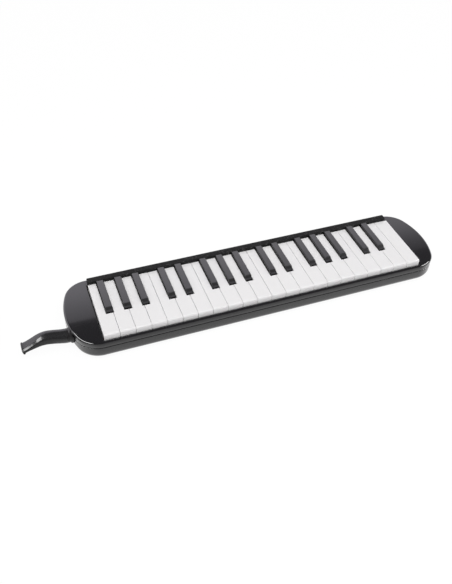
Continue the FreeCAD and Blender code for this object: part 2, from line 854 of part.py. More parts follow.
def make_reed_plate(size, label, steps, front):
    """Brass plate with a slot for each reed."""
    body = new_body(label)
    top = size.bed_top - size.board_thick
    bottom = top - size.reed_plate
    margin = 4.0
    low_x = lever_x(size, steps[0]) - margin
    high_x = lever_x(size, steps[-1]) + margin
    back = size.reed_root + 3.2
    pad_box(body, (low_x, front, bottom), (high_x, back, top))
    sketch = new_sketch(body, "XY_Plane", bottom)
    half = size.slot_width / 2
    for step in steps:
        centre = lever_x(size, step)
        draw_box(sketch, (centre - half, size.reed_root - reed_length(size, step)), (centre + half, size.reed_root))
    pocket(body, sketch, size.reed_plate, upwards=True)
    return body


def make_reeds(size):
    """Thirty-seven brass tongues under the reed plates, each fixed at its rear end."""
    thick = 0.25
    half = 1.0
    root_length = 2.2
    top = size.bed_top - size.board_thick - size.reed_plate
    tongues = []
    for step in range(KEY_COUNT):
        tongue = DOC.addObject("Part::Box", f"reed_{step + 1}")
        free = reed_length(size, step)
        bind(tongue, "Length", as_size(2 * half))
        bind(tongue, "Width", free + root_length - 0.4)
        bind(tongue, "Height", as_size(thick))
        bind(tongue, "Placement.Base.x", lever_x(size, step) - half)
        bind(tongue, "Placement.Base.y", size.reed_root - free + 0.4)
        bind(tongue, "Placement.Base.z", top - thick)
        tongues.append(tongue)
    return group_of("reeds", tongues)


def make_wind_chest(size):
    """Pan under the reeds, with screw flanges, the air inlet and the drain hole."""
    body = new_body("wind_chest")
    half = size.bed_half
    wall = size.chest_wall
    pad_box(body, (-half, size.chest_front, size.chest_bottom), (half, size.chest_back, size.chest_top))
    flange_low = size.chest_top - 2
    pad_box(
        body, (-half, size.chest_front - size.flange_width, flange_low),
        (half, size.chest_back + size.flange_width, size.chest_top),
    )
    cut_box(
        body, (wall - half, size.chest_front + wall, size.chest_bottom + 1.8),
        (half - wall, size.chest_back - wall, size.chest_top),
    )
    inlet_wide = 5.2
    inlet_high = 3.2
    cut_box(
        body, (-half - 1, size.socket_y - inlet_wide, INLET_Z - inlet_high),
        (wall - half + 1, size.socket_y + inlet_wide, INLET_Z + inlet_high),
    )
    drain_hole = 2.4
    cut_bore(body, (0, size.drain_z), drain_hole, half - wall - 1, half + 1)
    shank_hole = 1.35
    for x in CHEST_SCREW_X:
        for y in CHEST_SCREW_Y:
            cut_pilot(body, (x, y), shank_hole, flange_low, size.chest_top)
    return body


def make_chest_gasket(size):
    """Rubber frame between the wind chest's rim and the key bed."""
    body = new_body("chest_gasket")
    half = size.bed_half
    wall = size.chest_wall
    top = size.bed_top - size.board_thick
    pad_box(body, (-half, size.chest_front, size.chest_top), (half, size.chest_back, top))
    cut_box(
        body, (wall - half, size.chest_front + wall, size.chest_top),
        (half - wall, size.chest_back - wall, top),
    )
    return body


# ---------------------------------------------------------------- air way and drain

INLET_Z = 8.8
SOCKET_FLANGE = (-204.0, -202.0)
SEAL_END = -200.6


def make_mouthpiece_socket(size):
    """Collar through the case end, with a flange behind the wall and a bore for the mouthpiece plug."""
    body = new_body("mouthpiece_socket")
    axis = (size.socket_y, size.socket_z)
    flange_low, flange_high = SOCKET_FLANGE
    pad_bar(body, axis, size.collar_radius, size.collar_end, flange_low)
    half = size.collar_radius + 0.2
    low = (flange_low, size.socket_y - half, size.socket_z - half)
    pad_box(body, low, (flange_high, size.socket_y + half, size.socket_z + half - 0.2))
    cut_bore(body, axis, size.socket_radius, size.collar_end, flange_high)
    return body


def make_duct_seal(size):
    """Square rubber frame between the socket and the duct."""
    body = new_body("duct_seal")
    start = SOCKET_FLANGE[1]
    for half, feature in ((7.0, pad_box), (5.7, cut_box)):
        low = (start, size.socket_y - half, size.socket_z - half)
        feature(body, low, (SEAL_END, size.socket_y + half, size.socket_z + half))
    return body


def make_air_duct(size):
    """Rectangular duct that slopes from the socket down to the wind chest's inlet."""
    body = new_body("air_duct")
    thick = 1.3
    for inset, feature in ((0.0, pad), (thick, pocket)):
        start_half = 7.0 - inset
        end_half = 4.6 - inset
        wide = 6.5 - inset
        sketch = new_sketch(body, "XZ_Plane", -size.socket_y - wide)
        draw_loop(sketch, [
            (as_size(SEAL_END), size.socket_z - start_half), (-size.bed_half, as_size(INLET_Z - end_half)),
            (-size.bed_half, as_size(INLET_Z + end_half)), (as_size(SEAL_END), size.socket_z + start_half),
        ])
        made = feature(body, sketch, as_size(2 * wide))
        made.Reversed = feature is pocket
    return body


NECK_SLOPE = 11.0
NECK_LENGTH = 20.0
PLUG_LENGTH = 11.5
CHANNEL_RADIUS = 3.75


def make_mouthpiece(size):
    """Bent mouthpiece: round plug and rising neck, a wedge-shaped bill that turns down, and a thin lip."""
    body = new_body("mouthpiece")
    axis = (size.socket_y, size.socket_z)
    shoulder = size.collar_end - 0.2
    pad_bar(body, axis, size.plug_radius, shoulder - 1, size.collar_end + PLUG_LENGTH)
    pad_bar(body, axis, size.collar_radius, shoulder - 3, shoulder)
    neck_root = shoulder - 1.5
    pad(body, tilted_circle(body, size, neck_root, size.collar_radius - 0.3), as_size(NECK_LENGTH)).Reversed = True
    add_bill(body, size)
    cut_channel(body, size, shoulder)
    cut_bore(body, axis, as_size(CHANNEL_RADIUS), shoulder - 2, size.collar_end + PLUG_LENGTH)
    return body


def tilted_circle(body, size, x, radius):
    """Circle about the socket's axis on a plane across the rising neck."""
    sketch = new_sketch(body, "YZ_Plane", 0)
    turn = FreeCAD.Rotation(FreeCAD.Vector(1, 0, 0), NECK_SLOPE)
    sketch.AttachmentOffset = FreeCAD.Placement(FreeCAD.Vector(0, 0, 0), turn)
    bind(sketch, "AttachmentOffset.Base.x", size.socket_y)
    bind(sketch, "AttachmentOffset.Base.y", size.socket_z)
    bind(sketch, "AttachmentOffset.Base.z", x)
    draw_circle(sketch, (0, 0), radius)
    return sketch


def pad_bill_profile(body, size, half, corners, arcs=None):
    """Side profile of the bill, as (reach outwards, rise), made solid to both sides of the socket's axis."""
    sketch = new_sketch(body, "XZ_Plane", -size.socket_y - half)
    places = [(size.collar_end - reach, size.socket_z + rise) for reach, rise in corners]
    curves = {}
    for index, ((reach, rise), radius) in (arcs or {}).items():
        curves[index] = ((size.collar_end - reach, size.socket_z + rise), radius)
    draw_loop(sketch, places, curves)
    return pad(body, sketch, as_size(2 * half))


def add_bill(body, size):
    """Wedge that carries the neck over its crown and down to the thin lip."""
    crown = (19.0, -1.6)
    crown_radius = 12.0
    steep = math.radians(27.0)
    corners = [
        (crown[0], crown[1] + crown_radius),
        (crown[0] + crown_radius * math.sin(steep), crown[1] + crown_radius * math.cos(steep)),
        (44.4, -1.0), (44.4, -5.8), (33.5, -2.9), (26.0, -2.4), (19.0, -2.9),
    ]
    pad_bill_profile(body, size, 6.5, corners, {0: (crown, crown_radius)})
    pad_bill_profile(body, size, 8.0, [(44.3, -0.5), (45.8, -0.9), (45.8, -7.2), (44.3, -6.8)])


def cut_channel(body, size, shoulder):
    """Air channel: round through the neck, then flat and wide through the bill."""
    sketch = tilted_circle(body, size, shoulder - 1.5, as_size(CHANNEL_RADIUS))
    pocket(body, sketch, as_size(NECK_LENGTH - 1))
    half = 5.0
    sketch = new_sketch(body, "XZ_Plane", -size.socket_y - half)
    corners = [(18.5, 7.0), (22.0, 7.0), (46.5, -2.9), (46.5, -5.1), (27.0, 0.6), (18.5, 0.6)]
    draw_loop(sketch, [(size.collar_end - reach, size.socket_z + rise) for reach, rise in corners])
    pocket(body, sketch, as_size(2 * half), upwards=True)


def make_drain_button(size):
    """Push button in the treble end, with a stop flange and a lower stem that reaches into the wind chest."""
    body = new_body("drain_button")
    wall_outside = size.case_length / 2
    wall_inside = wall_outside - size.wall
    flange = 1.4
    proud = 2.2
    curve_play = 0.2
    pad_bar(body, (0, size.button_z), size.drain_radius, wall_inside - flange, wall_outside + proud)
    stop_half = size.drain_radius + 0.9
    stop_low = size.button_z - size.drain_radius
    pad_box(
        body, (wall_inside - flange, -stop_half, stop_low),
        (wall_inside - curve_play, stop_half, stop_low + 2 * size.drain_radius + 1.0),
    )
    stem_half = 1.2
    pad_box(
        body, (size.bed_half - size.chest_wall, -stem_half, size.drain_z - stem_half),
        (wall_inside - flange, stem_half, size.drain_z + stem_half),
    )
    return body


def make_drain_valve(size):
    """Rubber disc on the end of the stem, against the inside of the wind chest's end wall."""
    body = new_body("drain_valve")
    seat = size.bed_half - size.chest_wall
    thick = 1.8
    pad_bar(body, (0, size.drain_z), 3.2, seat - thick, seat)
    return body


def make_drain_spring(size):
    """Bent leaf that holds the drain shut: a foot on the case floor and an arm against the button's flange."""
    body = new_body("drain_spring")
    thick = 0.4
    half = 2.0
    floor = size.wall
    sketch = new_sketch(body, "XZ_Plane", -half)
    touch = size.case_length / 2 - size.wall - 1.4
    corners = [
        (188, floor), (198, floor), (touch, size.drain_z - 3), (touch, size.drain_z - 1.3),
        (touch - thick, size.drain_z - 1.3), (touch - thick, size.drain_z - 3), (198, floor + thick),
        (188, floor + thick),
    ]
    draw_loop(sketch, corners)
    pad(body, sketch, 2 * half)
    return body


# ---------------------------------------------------------------- fasteners


def make_screw(name, radii, spot, heights, head_sides):
    """Screw that points upwards: shank and head radii, and the heights of the head's ends and of the tip."""
    shank_radius, head_radius = radii
    head_low, head_high, tip = heights
    shank = six_sided_bar(name + "_shank", shank_radius, spot, head_high, tip)
    head = DOC.addObject("Part::Prism", name + "_head")
    head.Polygon = head_sides
    place_bar(head, head_radius, spot, head_low, head_high)
    screw = DOC.addObject("Part::Fuse", name)
    screw.Base = head
    screw.Tool = shank
    return screw


def six_sided_bar(name, radius, spot, low, high):
    """Upright bar whose corners lie on the given radius."""
    bar = DOC.addObject("Part::Prism", name)
    bar.Polygon = 6
    place_bar(bar, radius, spot, low, high)
    return bar


def place_bar(bar, radius, spot, low, high):
    """Bind an upright prism's radius, height and place."""
    bind(bar, "Circumradius", radius)
    bind(bar, "Height", high - as_size(low))
    bind(bar, "Placement.Base.x", spot[0])
    bind(bar, "Placement.Base.y", spot[1])
    bind(bar, "Placement.Base.z", low)


def make_case_screws(size):
    """Four screws into the upper half and four into the key bed."""
    head_low = as_size(1.2)
    head_high = as_size(3.0)
    play = 0.1
    radii = (size.screw_radius - play, size.head_radius)
    screws = []
    for number, spot in enumerate(SCREW_SPOTS_END + SCREW_SPOTS_BED, start=1):
        tip = size.cover_top - 3.5 if spot in SCREW_SPOTS_END else size.bed_top - 0.5
        heights = (head_low, head_high, tip)
        screws.append(make_screw(f"case_screw_{number}", radii, spot, heights, HEAD_SIDES))
    return group_of("case_screws", screws)


def make_chest_screws(size):
    """Ten small screws that hold the wind chest to the key bed."""
    head_high = size.chest_top - 2
    heights = (head_high - 1.3, head_high, size.bed_top - 1.5)
    radii = (as_size(1.15), as_size(1.9))
    spots = [(x, y) for x in CHEST_SCREW_X for y in CHEST_SCREW_Y]
    screws = [
        make_screw(f"chest_screw_{number}", radii, spot, heights, 6) for number, spot in enumerate(spots, start=1)
    ]
    return group_of("chest_screws", screws)


def group_of(label, pieces):
    """Several separate solids in one node."""
    group = DOC.addObject("Part::Compound", label)
    group.Label = label
    group.Links = pieces
    return group


# ---------------------------------------------------------------- the whole instrument


def check_document(parts):
    """Stop if any object failed, any cut removed nothing or any part is not a set of valid solids."""
    for thing in DOC.Objects:
        if "Invalid" in thing.State or "Error" in thing.State:
            raise RuntimeError(f"{thing.Name} failed: {thing.State}")
        if thing.TypeId == "PartDesign::Pocket" and thing.Shape.Volume > thing.BaseFeature.Shape.Volume - 0.01:
            raise RuntimeError(f"{thing.Name} of {thing.getParent().Label} cuts nothing")
    for part in parts:
        if part.Shape.isNull() or not part.Shape.isValid() or not part.Shape.Solids:
            raise RuntimeError(f"{part.Label} has no valid shape")


def main():
    """Build every part, check it and write one STEP file for each."""
    size = Sizes(DRIVING)
    DOC.recompute()
    low_steps = range(0, KEY_COUNT // 2 + 1)
    high_steps = range(KEY_COUNT // 2 + 1, KEY_COUNT)
    parts = [
        make_lower_case(size), make_upper_case(size), make_rear_strip(size), make_key_bed(size),
        make_pivot_rod(size), make_guide_comb(size), make_key_springs(size), make_stop_felt(size),
        make_reed_plate(size, "reed_plate_low", low_steps, -1),
        make_reed_plate(size, "reed_plate_high", high_steps, 7),
        make_reeds(size), make_wind_chest(size), make_chest_gasket(size), make_chest_screws(size),
        make_case_screws(size), make_mouthpiece_socket(size), make_duct_seal(size), make_air_duct(size),
        make_mouthpiece(size), make_drain_button(size), make_drain_valve(size), make_drain_spring(size),
    ]
    parts += [make_key(size, step) for step in range(KEY_COUNT)]
    DOC.recompute()
    check_document(parts)
    os.makedirs("parts", exist_ok=True)
    for part in parts:
        part.Shape.exportStep(os.path.join("parts", part.Label + ".step"))


main()
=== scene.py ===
"""Dress of the 37-key melodica: smooth case halves, keys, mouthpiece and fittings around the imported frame.

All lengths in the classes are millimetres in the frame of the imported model: the origin is the centre of the
flat underside, +X runs to the treble end, +Y to the back and +Z up. Meshes are written in metres, and the
shaders work in metres too.
"""
import functools
import logging
import math
from dataclasses import dataclass, field
from enum import Enum
from typing import Any, Iterable, Sequence

import bmesh
import bpy
import numpy as np
from mathutils import Matrix, Vector


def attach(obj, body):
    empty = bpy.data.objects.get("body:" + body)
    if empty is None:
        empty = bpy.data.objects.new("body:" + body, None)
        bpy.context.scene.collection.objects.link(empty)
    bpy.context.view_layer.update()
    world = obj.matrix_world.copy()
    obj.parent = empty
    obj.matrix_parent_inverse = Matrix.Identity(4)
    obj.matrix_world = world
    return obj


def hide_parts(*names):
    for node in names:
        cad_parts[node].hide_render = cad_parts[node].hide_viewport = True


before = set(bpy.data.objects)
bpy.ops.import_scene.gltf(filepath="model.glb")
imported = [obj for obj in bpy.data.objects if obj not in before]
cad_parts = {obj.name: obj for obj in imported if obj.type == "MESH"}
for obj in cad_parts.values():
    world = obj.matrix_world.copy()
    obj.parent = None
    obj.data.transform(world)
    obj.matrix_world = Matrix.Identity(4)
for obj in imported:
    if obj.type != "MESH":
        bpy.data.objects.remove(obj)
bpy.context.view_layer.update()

MM = 0.001
SHARP = 32.0
LOG = logging.getLogger("melodica")

Array = np.ndarray
Pair = tuple[float, float]
Triple = tuple[float, float, float]
Shade = tuple[float, float, float, float]


# ---------------------------------------------------------------- shader expressions


class Field:
    """A shader value. Arithmetic on it adds Math nodes to its graph."""

    def __init__(self, graph: "Graph", socket: bpy.types.NodeSocket) -> None:
        """Wrap an output socket of a graph."""
        self.graph = graph
        self.socket = socket

    def maths(self, operation: str, other: Any = 0.0) -> "Field":
        """One Math node with this value first.

        Args:
            operation: the node's operation name.
            other: the second operand, a number or a field.

        Returns:
            The node's result.
        """
        return self.graph.add("ShaderNodeMath", {0: self, 1: other}, operation=operation)

    def __add__(self, other: Any) -> "Field":
        """Sum."""
        return self.maths("ADD", other)

    def __sub__(self, other: Any) -> "Field":
        """Difference."""
        return self.maths("SUBTRACT", other)

    def __rsub__(self, other: Any) -> "Field":
        """A number minus this value."""
        return self * -1.0 + other

    def __mul__(self, other: Any) -> "Field":
        """Product."""
        return self.maths("MULTIPLY", other)

    def between(self, low: float, high: float) -> "Field":
        """Value that goes from low to high as this one goes from 0 to 1."""
        return self * (high - low) + low

    def ramp(self, start: float, end: float) -> "Field":
        """Smooth step that is 0 at start and 1 at end."""
        values = {"Value": self, "From Min": min(start, end), "From Max": max(start, end)}
        rising = self.graph.add("ShaderNodeMapRange", values, interpolation_type="SMOOTHSTEP")
        return rising if start < end else 1.0 - rising


class Graph:
    """A node tree that is written as expressions."""

    def __init__(self, tree: bpy.types.NodeTree) -> None:
        """Start from an empty tree."""
        self.tree = tree
        tree.nodes.clear()

    def raw(self, kind: str, values: dict[Any, Any], **settings: Any) -> bpy.types.Node:
        """Add any node.

        Args:
            kind: the node's type.
            values: numbers, colours, fields or sockets by input name or index.
            settings: the node's properties, set first.

        Returns:
            The node.
        """
        node = self.tree.nodes.new(kind)
        for name, value in settings.items():
            setattr(node, name, value)
        for name, value in values.items():
            source = value.socket if isinstance(value, Field) else value
            if isinstance(source, bpy.types.NodeSocket):
                self.tree.links.new(source, node.inputs[name])
            else:
                node.inputs[name].default_value = source
        return node

    def add(self, kind: str, values: dict[Any, Any], output: Any = 0, **settings: Any) -> Field:
        """Add any node and take one of its outputs as a field."""
        return Field(self, self.raw(kind, values, **settings).outputs[output])

    def place(self) -> Field:
        """The object's own coordinates, in metres."""
        return self.add("ShaderNodeTexCoord", {}, "Object")

    def stretched(self, scale: Triple) -> Field:
        """Object coordinates multiplied axis by axis."""
        return self.add("ShaderNodeMapping", {"Vector": self.place(), "Scale": scale})

    def axes(self, vector: Field) -> tuple[Field, Field, Field]:
        """The X, Y and Z parts of a vector."""
        node = self.raw("ShaderNodeSeparateXYZ", {"Vector": vector})
        x, y, z = (Field(self, output) for output in node.outputs)
        return x, y, z

    def ray_kinds(self) -> tuple[Field, Field, Field]:
        """Whether a ray is the camera's, a glossy one or one through something clear: each is 0 or 1."""
        node = self.raw("ShaderNodeLightPath", {})
        names = ("Is Camera Ray", "Is Glossy Ray", "Is Transmission Ray")
        camera_ray, glossy_ray, clear_ray = (Field(self, node.outputs[name]) for name in names)
        return camera_ray, glossy_ray, clear_ray

    def noise(self, vector: Field, scale: float, detail: float = 3.0, rough: float = 0.5) -> Field:
        """Cloud noise from 0 to 1."""
        values = {"Vector": vector, "Scale": scale, "Detail": detail, "Roughness": rough}
        return self.add("ShaderNodeTexNoise", values)

    def blend(self, factor: Any, low: Any, high: Any) -> Field:
        """Colour that goes from low to high with the factor."""
        return self.add("ShaderNodeMix", {0: factor, 6: low, 7: high}, 2, data_type="RGBA")

    def bump(self, height: Field, distance: float, strength: float = 1.0) -> Field:
        """Normal of a relief, its depth in metres."""
        return self.add("ShaderNodeBump", {"Height": height, "Distance": distance, "Strength": strength})


def solid(colour: Triple, gain: float = 1.0) -> Shade:
    """A colour made lighter or darker, with full alpha."""
    red, green, blue = colour
    return (red * gain, green * gain, blue * gain, 1.0)


def grey(level: float) -> Shade:
    """A neutral colour with full alpha."""
    return (level, level, level, 1.0)


def blank_material(name: str) -> tuple[bpy.types.Material, Graph]:
    """A new material and its empty graph."""
    material = bpy.data.materials.new(name)
    material.use_nodes = True
    return material, Graph(material.node_tree)


# ---------------------------------------------------------------- finishes


@dataclass(frozen=True)
class Finish:
    """A surface: two colours that clouds mix, a roughness range and fine relief.

    Attributes:
        name: the material's name.
        colour: main colour.
        change: how much lighter the clouds are at most, as a share of the colour.
        cloud: clouds per metre.
        rough: lowest and highest roughness.
        relief: depth of the relief in metres.
        grain: relief features per metre.
        metal: 1 for bare metal.
        coat: weight of a clear outer layer.
        coat_rough: roughness of that layer.
        gloss: specular level.
        stretch: factor on the coordinates along each axis; below 1 it draws the pattern out.
    """

    name: str
    colour: Triple
    change: float = 0.25
    cloud: float = 60.0
    rough: Pair = (0.25, 0.35)
    relief: float = 0.00001
    grain: float = 900.0
    metal: float = 0.0
    coat: float = 0.0
    coat_rough: float = 0.06
    gloss: float = 0.5
    stretch: Triple = (1.0, 1.0, 1.0)

    def inputs(self, graph: Graph) -> dict[str, Any]:
        """What the shader gets, by input name. The other kinds of finish change some of it."""
        vector = graph.stretched(self.stretch)
        clouds = graph.noise(vector, self.cloud)
        return {
            "Base Color": graph.blend(clouds, solid(self.colour), solid(self.colour, 1 + self.change)),
            "Roughness": clouds.between(*self.rough),
            "Normal": graph.bump(graph.noise(vector, self.grain, 2.0), self.relief),
            "Metallic": self.metal,
            "Coat Weight": self.coat,
            "Coat Roughness": self.coat_rough,
            "Specular IOR Level": self.gloss,
        }

    def material(self) -> bpy.types.Material:
        """Build the material: one principled shader."""
        material, graph = blank_material(self.name)
        shader = graph.raw("ShaderNodeBsdfPrincipled", self.inputs(graph))
        graph.raw("ShaderNodeOutputMaterial", {"Surface": shader.outputs[0]})
        return material


@dataclass(frozen=True)
class Moulded(Finish):
    """Glossy moulding with faint rub marks: thin streaks that are a little rougher.

    Attributes:
        streak: how much rougher a streak is.
        streak_grain: streaks per metre.
        streak_squeeze: how much thinner they are along each axis.
        streak_span: noise level where a streak starts, and where it is full.
    """

    streak: float = 0.10
    streak_grain: float = 55.0
    streak_squeeze: Triple = (1.0, 9.0, 5.0)
    streak_span: Pair = (0.60, 0.78)

    def inputs(self, graph: Graph) -> dict[str, Any]:
        """The usual inputs, with the marks added to the roughness."""
        inputs = super().inputs(graph)
        marks = graph.noise(graph.stretched(self.streak_squeeze), self.streak_grain, 5.0, 0.7)
        inputs["Roughness"] = inputs["Roughness"] + marks.ramp(*self.streak_span) * self.streak
        return inputs


@dataclass(frozen=True)
class PolishedWithPaintedSheen(Finish):
    """Moulded plastic whose level faces are smoother and coated, with a painted sheen: a paler colour than its sides.

    Attributes:
        top: colour of the level faces, a painted sheen.
        top_change: how much paler the patches of that painted sheen are, as a share of the colour.
        top_rough: lowest and highest roughness there.
        upright: the normal's Z where the painted sheen and the smoother, coated finish start, and where they are
            full.
    """

    top: Triple = (0.042, 0.041, 0.044)
    top_change: float = 0.2
    top_rough: Pair = (0.14, 0.22)
    upright: Pair = (0.86, 0.985)

    def inputs(self, graph: Graph) -> dict[str, Any]:
        """The usual inputs, turned to the painted sheen colour, the smoother roughness and the coat as far as the
        face is level.
        """
        inputs = super().inputs(graph)
        facing = graph.axes(graph.add("ShaderNodeNewGeometry", {}, "Normal"))[2]
        # share of painted sheen in the colour, and of the smoother coated finish, by how level the face is
        sheen_and_polish = facing.ramp(*self.upright)
        patch = graph.noise(graph.stretched((3.0, 1.0, 1.0)), 120.0)
        # painted sheen: level faces are paler than the sides, standing in for the light they catch
        pale = graph.blend(patch, solid(self.top), solid(self.top, 1 + self.top_change))
        inputs["Base Color"] = graph.blend(sheen_and_polish, inputs["Base Color"], pale)
        worn = patch.between(*self.top_rough)
        inputs["Roughness"] = inputs["Roughness"] * (1.0 - sheen_and_polish) + sheen_and_polish * worn
        inputs["Coat Weight"] = sheen_and_polish * self.coat
        return inputs


@dataclass(frozen=True)
class Wrinkled(Finish):
    """Coarse black wrinkle finish: worn paler tops on an uneven dark ground.

    Attributes:
        worn: colour of the tops.
        ridges: ridges per metre.
        patches: patches of worn ridges per metre.
        depth: depth of the wrinkles in metres.
        rough: roughness of the ground and of the tops.
    """

    worn: Triple = (0.12, 0.118, 0.12)
    ridges: float = 700.0
    patches: float = 160.0
    depth: float = 0.0004
    rough: Pair = (0.62, 0.40)

    def inputs(self, graph: Graph) -> dict[str, Any]:
        """The usual inputs, with one ridged noise for both the relief and the paler tops."""
        vector = graph.stretched((1.0, 1.5, 1.5))
        ridge = graph.noise(vector, self.ridges, 4.0, 0.6)
        tops = ridge.ramp(0.55, 0.68) * graph.noise(vector, self.patches, 2.0).ramp(0.42, 0.62)
        return super().inputs(graph) | {
            "Base Color": graph.blend(tops, solid(self.colour), solid(self.worn)),
            "Roughness": tops.between(*self.rough),
            "Normal": graph.bump(ridge, self.depth, 0.9),
        }


@dataclass(frozen=True)
class Ivory(Finish):
    """White key plastic: a trace of clouding, and painted shade that darkens the foot of the key's front.

    Attributes:
        shade: colour of the painted shade at the foot.
        painted_shade_share: how much of the painted shade shows.
        foot: height where it starts, and where it is full, in metres.
    """

    shade: Triple = (0.74, 0.735, 0.73)
    painted_shade_share: float = 0.6
    foot: Pair = (0.0262, 0.0215)

    def inputs(self, graph: Graph) -> dict[str, Any]:
        """The usual inputs, with the painted shade gathered low on the key's front."""
        inputs = super().inputs(graph)
        # painted shade: darker towards the bottom of the key's front
        foot = graph.axes(graph.place())[2].ramp(*self.foot)
        inputs["Base Color"] = graph.blend(foot * self.painted_shade_share, inputs["Base Color"], solid(self.shade))
        return inputs


class Surface(Enum):
    """The finishes of the melodica, each with the arguments of its kind in order."""

    COVER = Moulded(
        "cover_gloss_black", (0.0065, 0.0062, 0.0072), 0.25, 40, (0.04, 0.07), 2e-6, 300, coat=1.0, coat_rough=0.03)
    CASE = Moulded("case_satin_black", (0.010, 0.0097, 0.0102), 0.3, 50, (0.20, 0.30), 8e-6, 1500, coat=1.0)
    STRIP = Wrinkled("strip_wrinkle_black", (0.005, 0.005, 0.0053), gloss=0.25)
    WHITE = Ivory("key_white", (0.80, 0.79, 0.795), 0.02, 35, (0.26, 0.34), 3e-6, 500, coat=0.2)
    # black keys: their paler level tops are painted sheen
    BLACK = PolishedWithPaintedSheen(
        "key_black", (0.012, 0.0115, 0.0125), 0.35, 90, (0.32, 0.42), 8e-6, 1800, coat=1.0, gloss=0.35)
    LEVER = Finish("lever_plastic", (0.62, 0.62, 0.61), 0.05, 50, (0.4, 0.5))
    PAD = Finish("valve_pad_foam", (0.36, 0.33, 0.28), 0.3, 300, (0.85, 0.95), 6e-5, 2500)
    MOUTHPIECE = Moulded("mouthpiece_black", (0.013, 0.013, 0.0135), 0.3, 60, (0.20, 0.30), 8e-6, coat=0.4)
    SOCKET = Moulded("socket_black", (0.012, 0.011, 0.0115), 0.3, 60, (0.24, 0.36), 8e-6, coat=0.2)
    BUTTON = Moulded("button_black", (0.02, 0.02, 0.021), 0.3, 90, (0.25, 0.35), 8e-6, coat=0.3)
    BED = Finish("bed_plastic", (0.030, 0.030, 0.032), 0.3, 40, (0.45, 0.6), 1.5e-5, 1400)
    COMB = Finish("comb_plastic", (0.045, 0.045, 0.048), 0.3, 60, (0.5, 0.65), 1.5e-5, 1400)
    CHEST = Finish("chest_plastic", (0.055, 0.055, 0.058), 0.3, 45, (0.42, 0.55), 1.5e-5, 1200)
    ROD = Finish("drawn_steel", (0.55, 0.55, 0.54), 0.1, 200, (0.2, 0.32), 4e-6, 3000, 1.0, stretch=(0.05, 1, 1))
    SPRING = Finish("spring_steel", (0.50, 0.48, 0.45), 0.2, 200, (0.25, 0.4), 4e-6, 2500, 1.0)
    SCREW = Finish("blackened_screw", (0.10, 0.10, 0.105), 0.5, 400, (0.3, 0.45), 1e-5, 3000, 1.0)
    BRASS = Finish("rolled_brass", (0.72, 0.52, 0.22), 0.15, 120, (0.25, 0.4), 5e-6, 2500, 1.0, stretch=(0.2, 1, 1))
    REED = Finish(
        "ground_reed_brass", (0.78, 0.60, 0.28), 0.15, 300, (0.2, 0.35), 6e-6, 4000, 1.0, stretch=(1, 0.1, 1))
    FELT = Finish("red_felt", (0.30, 0.022, 0.03), 0.5, 700, (0.9, 1.0), 2e-4, 2200)
    RUBBER = Finish("seal_rubber", (0.022, 0.022, 0.022), 0.3, 200, (0.6, 0.75), 2e-5, 1800)

    @functools.cache
    def material(self) -> bpy.types.Material:
        """The finish's material, made once."""
        return self.value.material()


# ---------------------------------------------------------------- surfaces


def arc(start: float, end: float, steps: int) -> Array:
    """Angles in radians from start to end degrees, both included."""
    return np.radians(np.linspace(start, end, steps + 1))


def quarter(radius: float, steps: int) -> list[Pair]:
    """Quarter circle as pairs (a, b): a grows from 0 to the radius while b falls from the radius to 0."""
    return [(radius * (1 - math.cos(t)), radius * (1 - math.sin(t))) for t in arc(0, 90, steps)]


def at_height(plan: Array, z: float) -> Array:
    """A plan curve at one height, as (points, 3)."""
    return np.insert(plan, 2, z, axis=1)


def at_x(profile: Array, x: float) -> Array:
    """A side profile at one X, as (points, 3)."""
    return np.insert(profile, 0, x, axis=1)


def circle(sides: int) -> Array:
    """Points of a unit circle about the origin, as (sides, 2)."""
    turn = np.linspace(0.0, 2 * math.pi, sides, endpoint=False)
    return np.stack([np.cos(turn), np.sin(turn)], axis=-1)


def smooth_through(stations: Array, knots: Array, where: Array) -> Array:
    """Smooth curve through table rows.

    Between two knots the value is the cubic that keeps both values and both slopes, where a knot's slope is
    that of the parabola through it and its neighbours.

    Args:
        stations: values at the knots, one row each.
        knots: parameter of each row, rising.
        where: parameters to work out.

    Returns:
        One row per parameter.
    """
    slope = np.gradient(stations, knots, axis=0)
    index = np.clip(np.searchsorted(knots, where, side="right") - 1, 0, len(knots) - 2)
    span = (knots[index + 1] - knots[index])[:, None]
    t = (where - knots[index])[:, None] / span
    low, high = stations[index], stations[index + 1]
    rise_low, rise_high = slope[index] * span, slope[index + 1] * span
    return (
        (2 * t**3 - 3 * t**2 + 1) * low + (t**3 - 2 * t**2 + t) * rise_low
        + (3 * t**2 - 2 * t**3) * high + (t**3 - t**2) * rise_high
    )


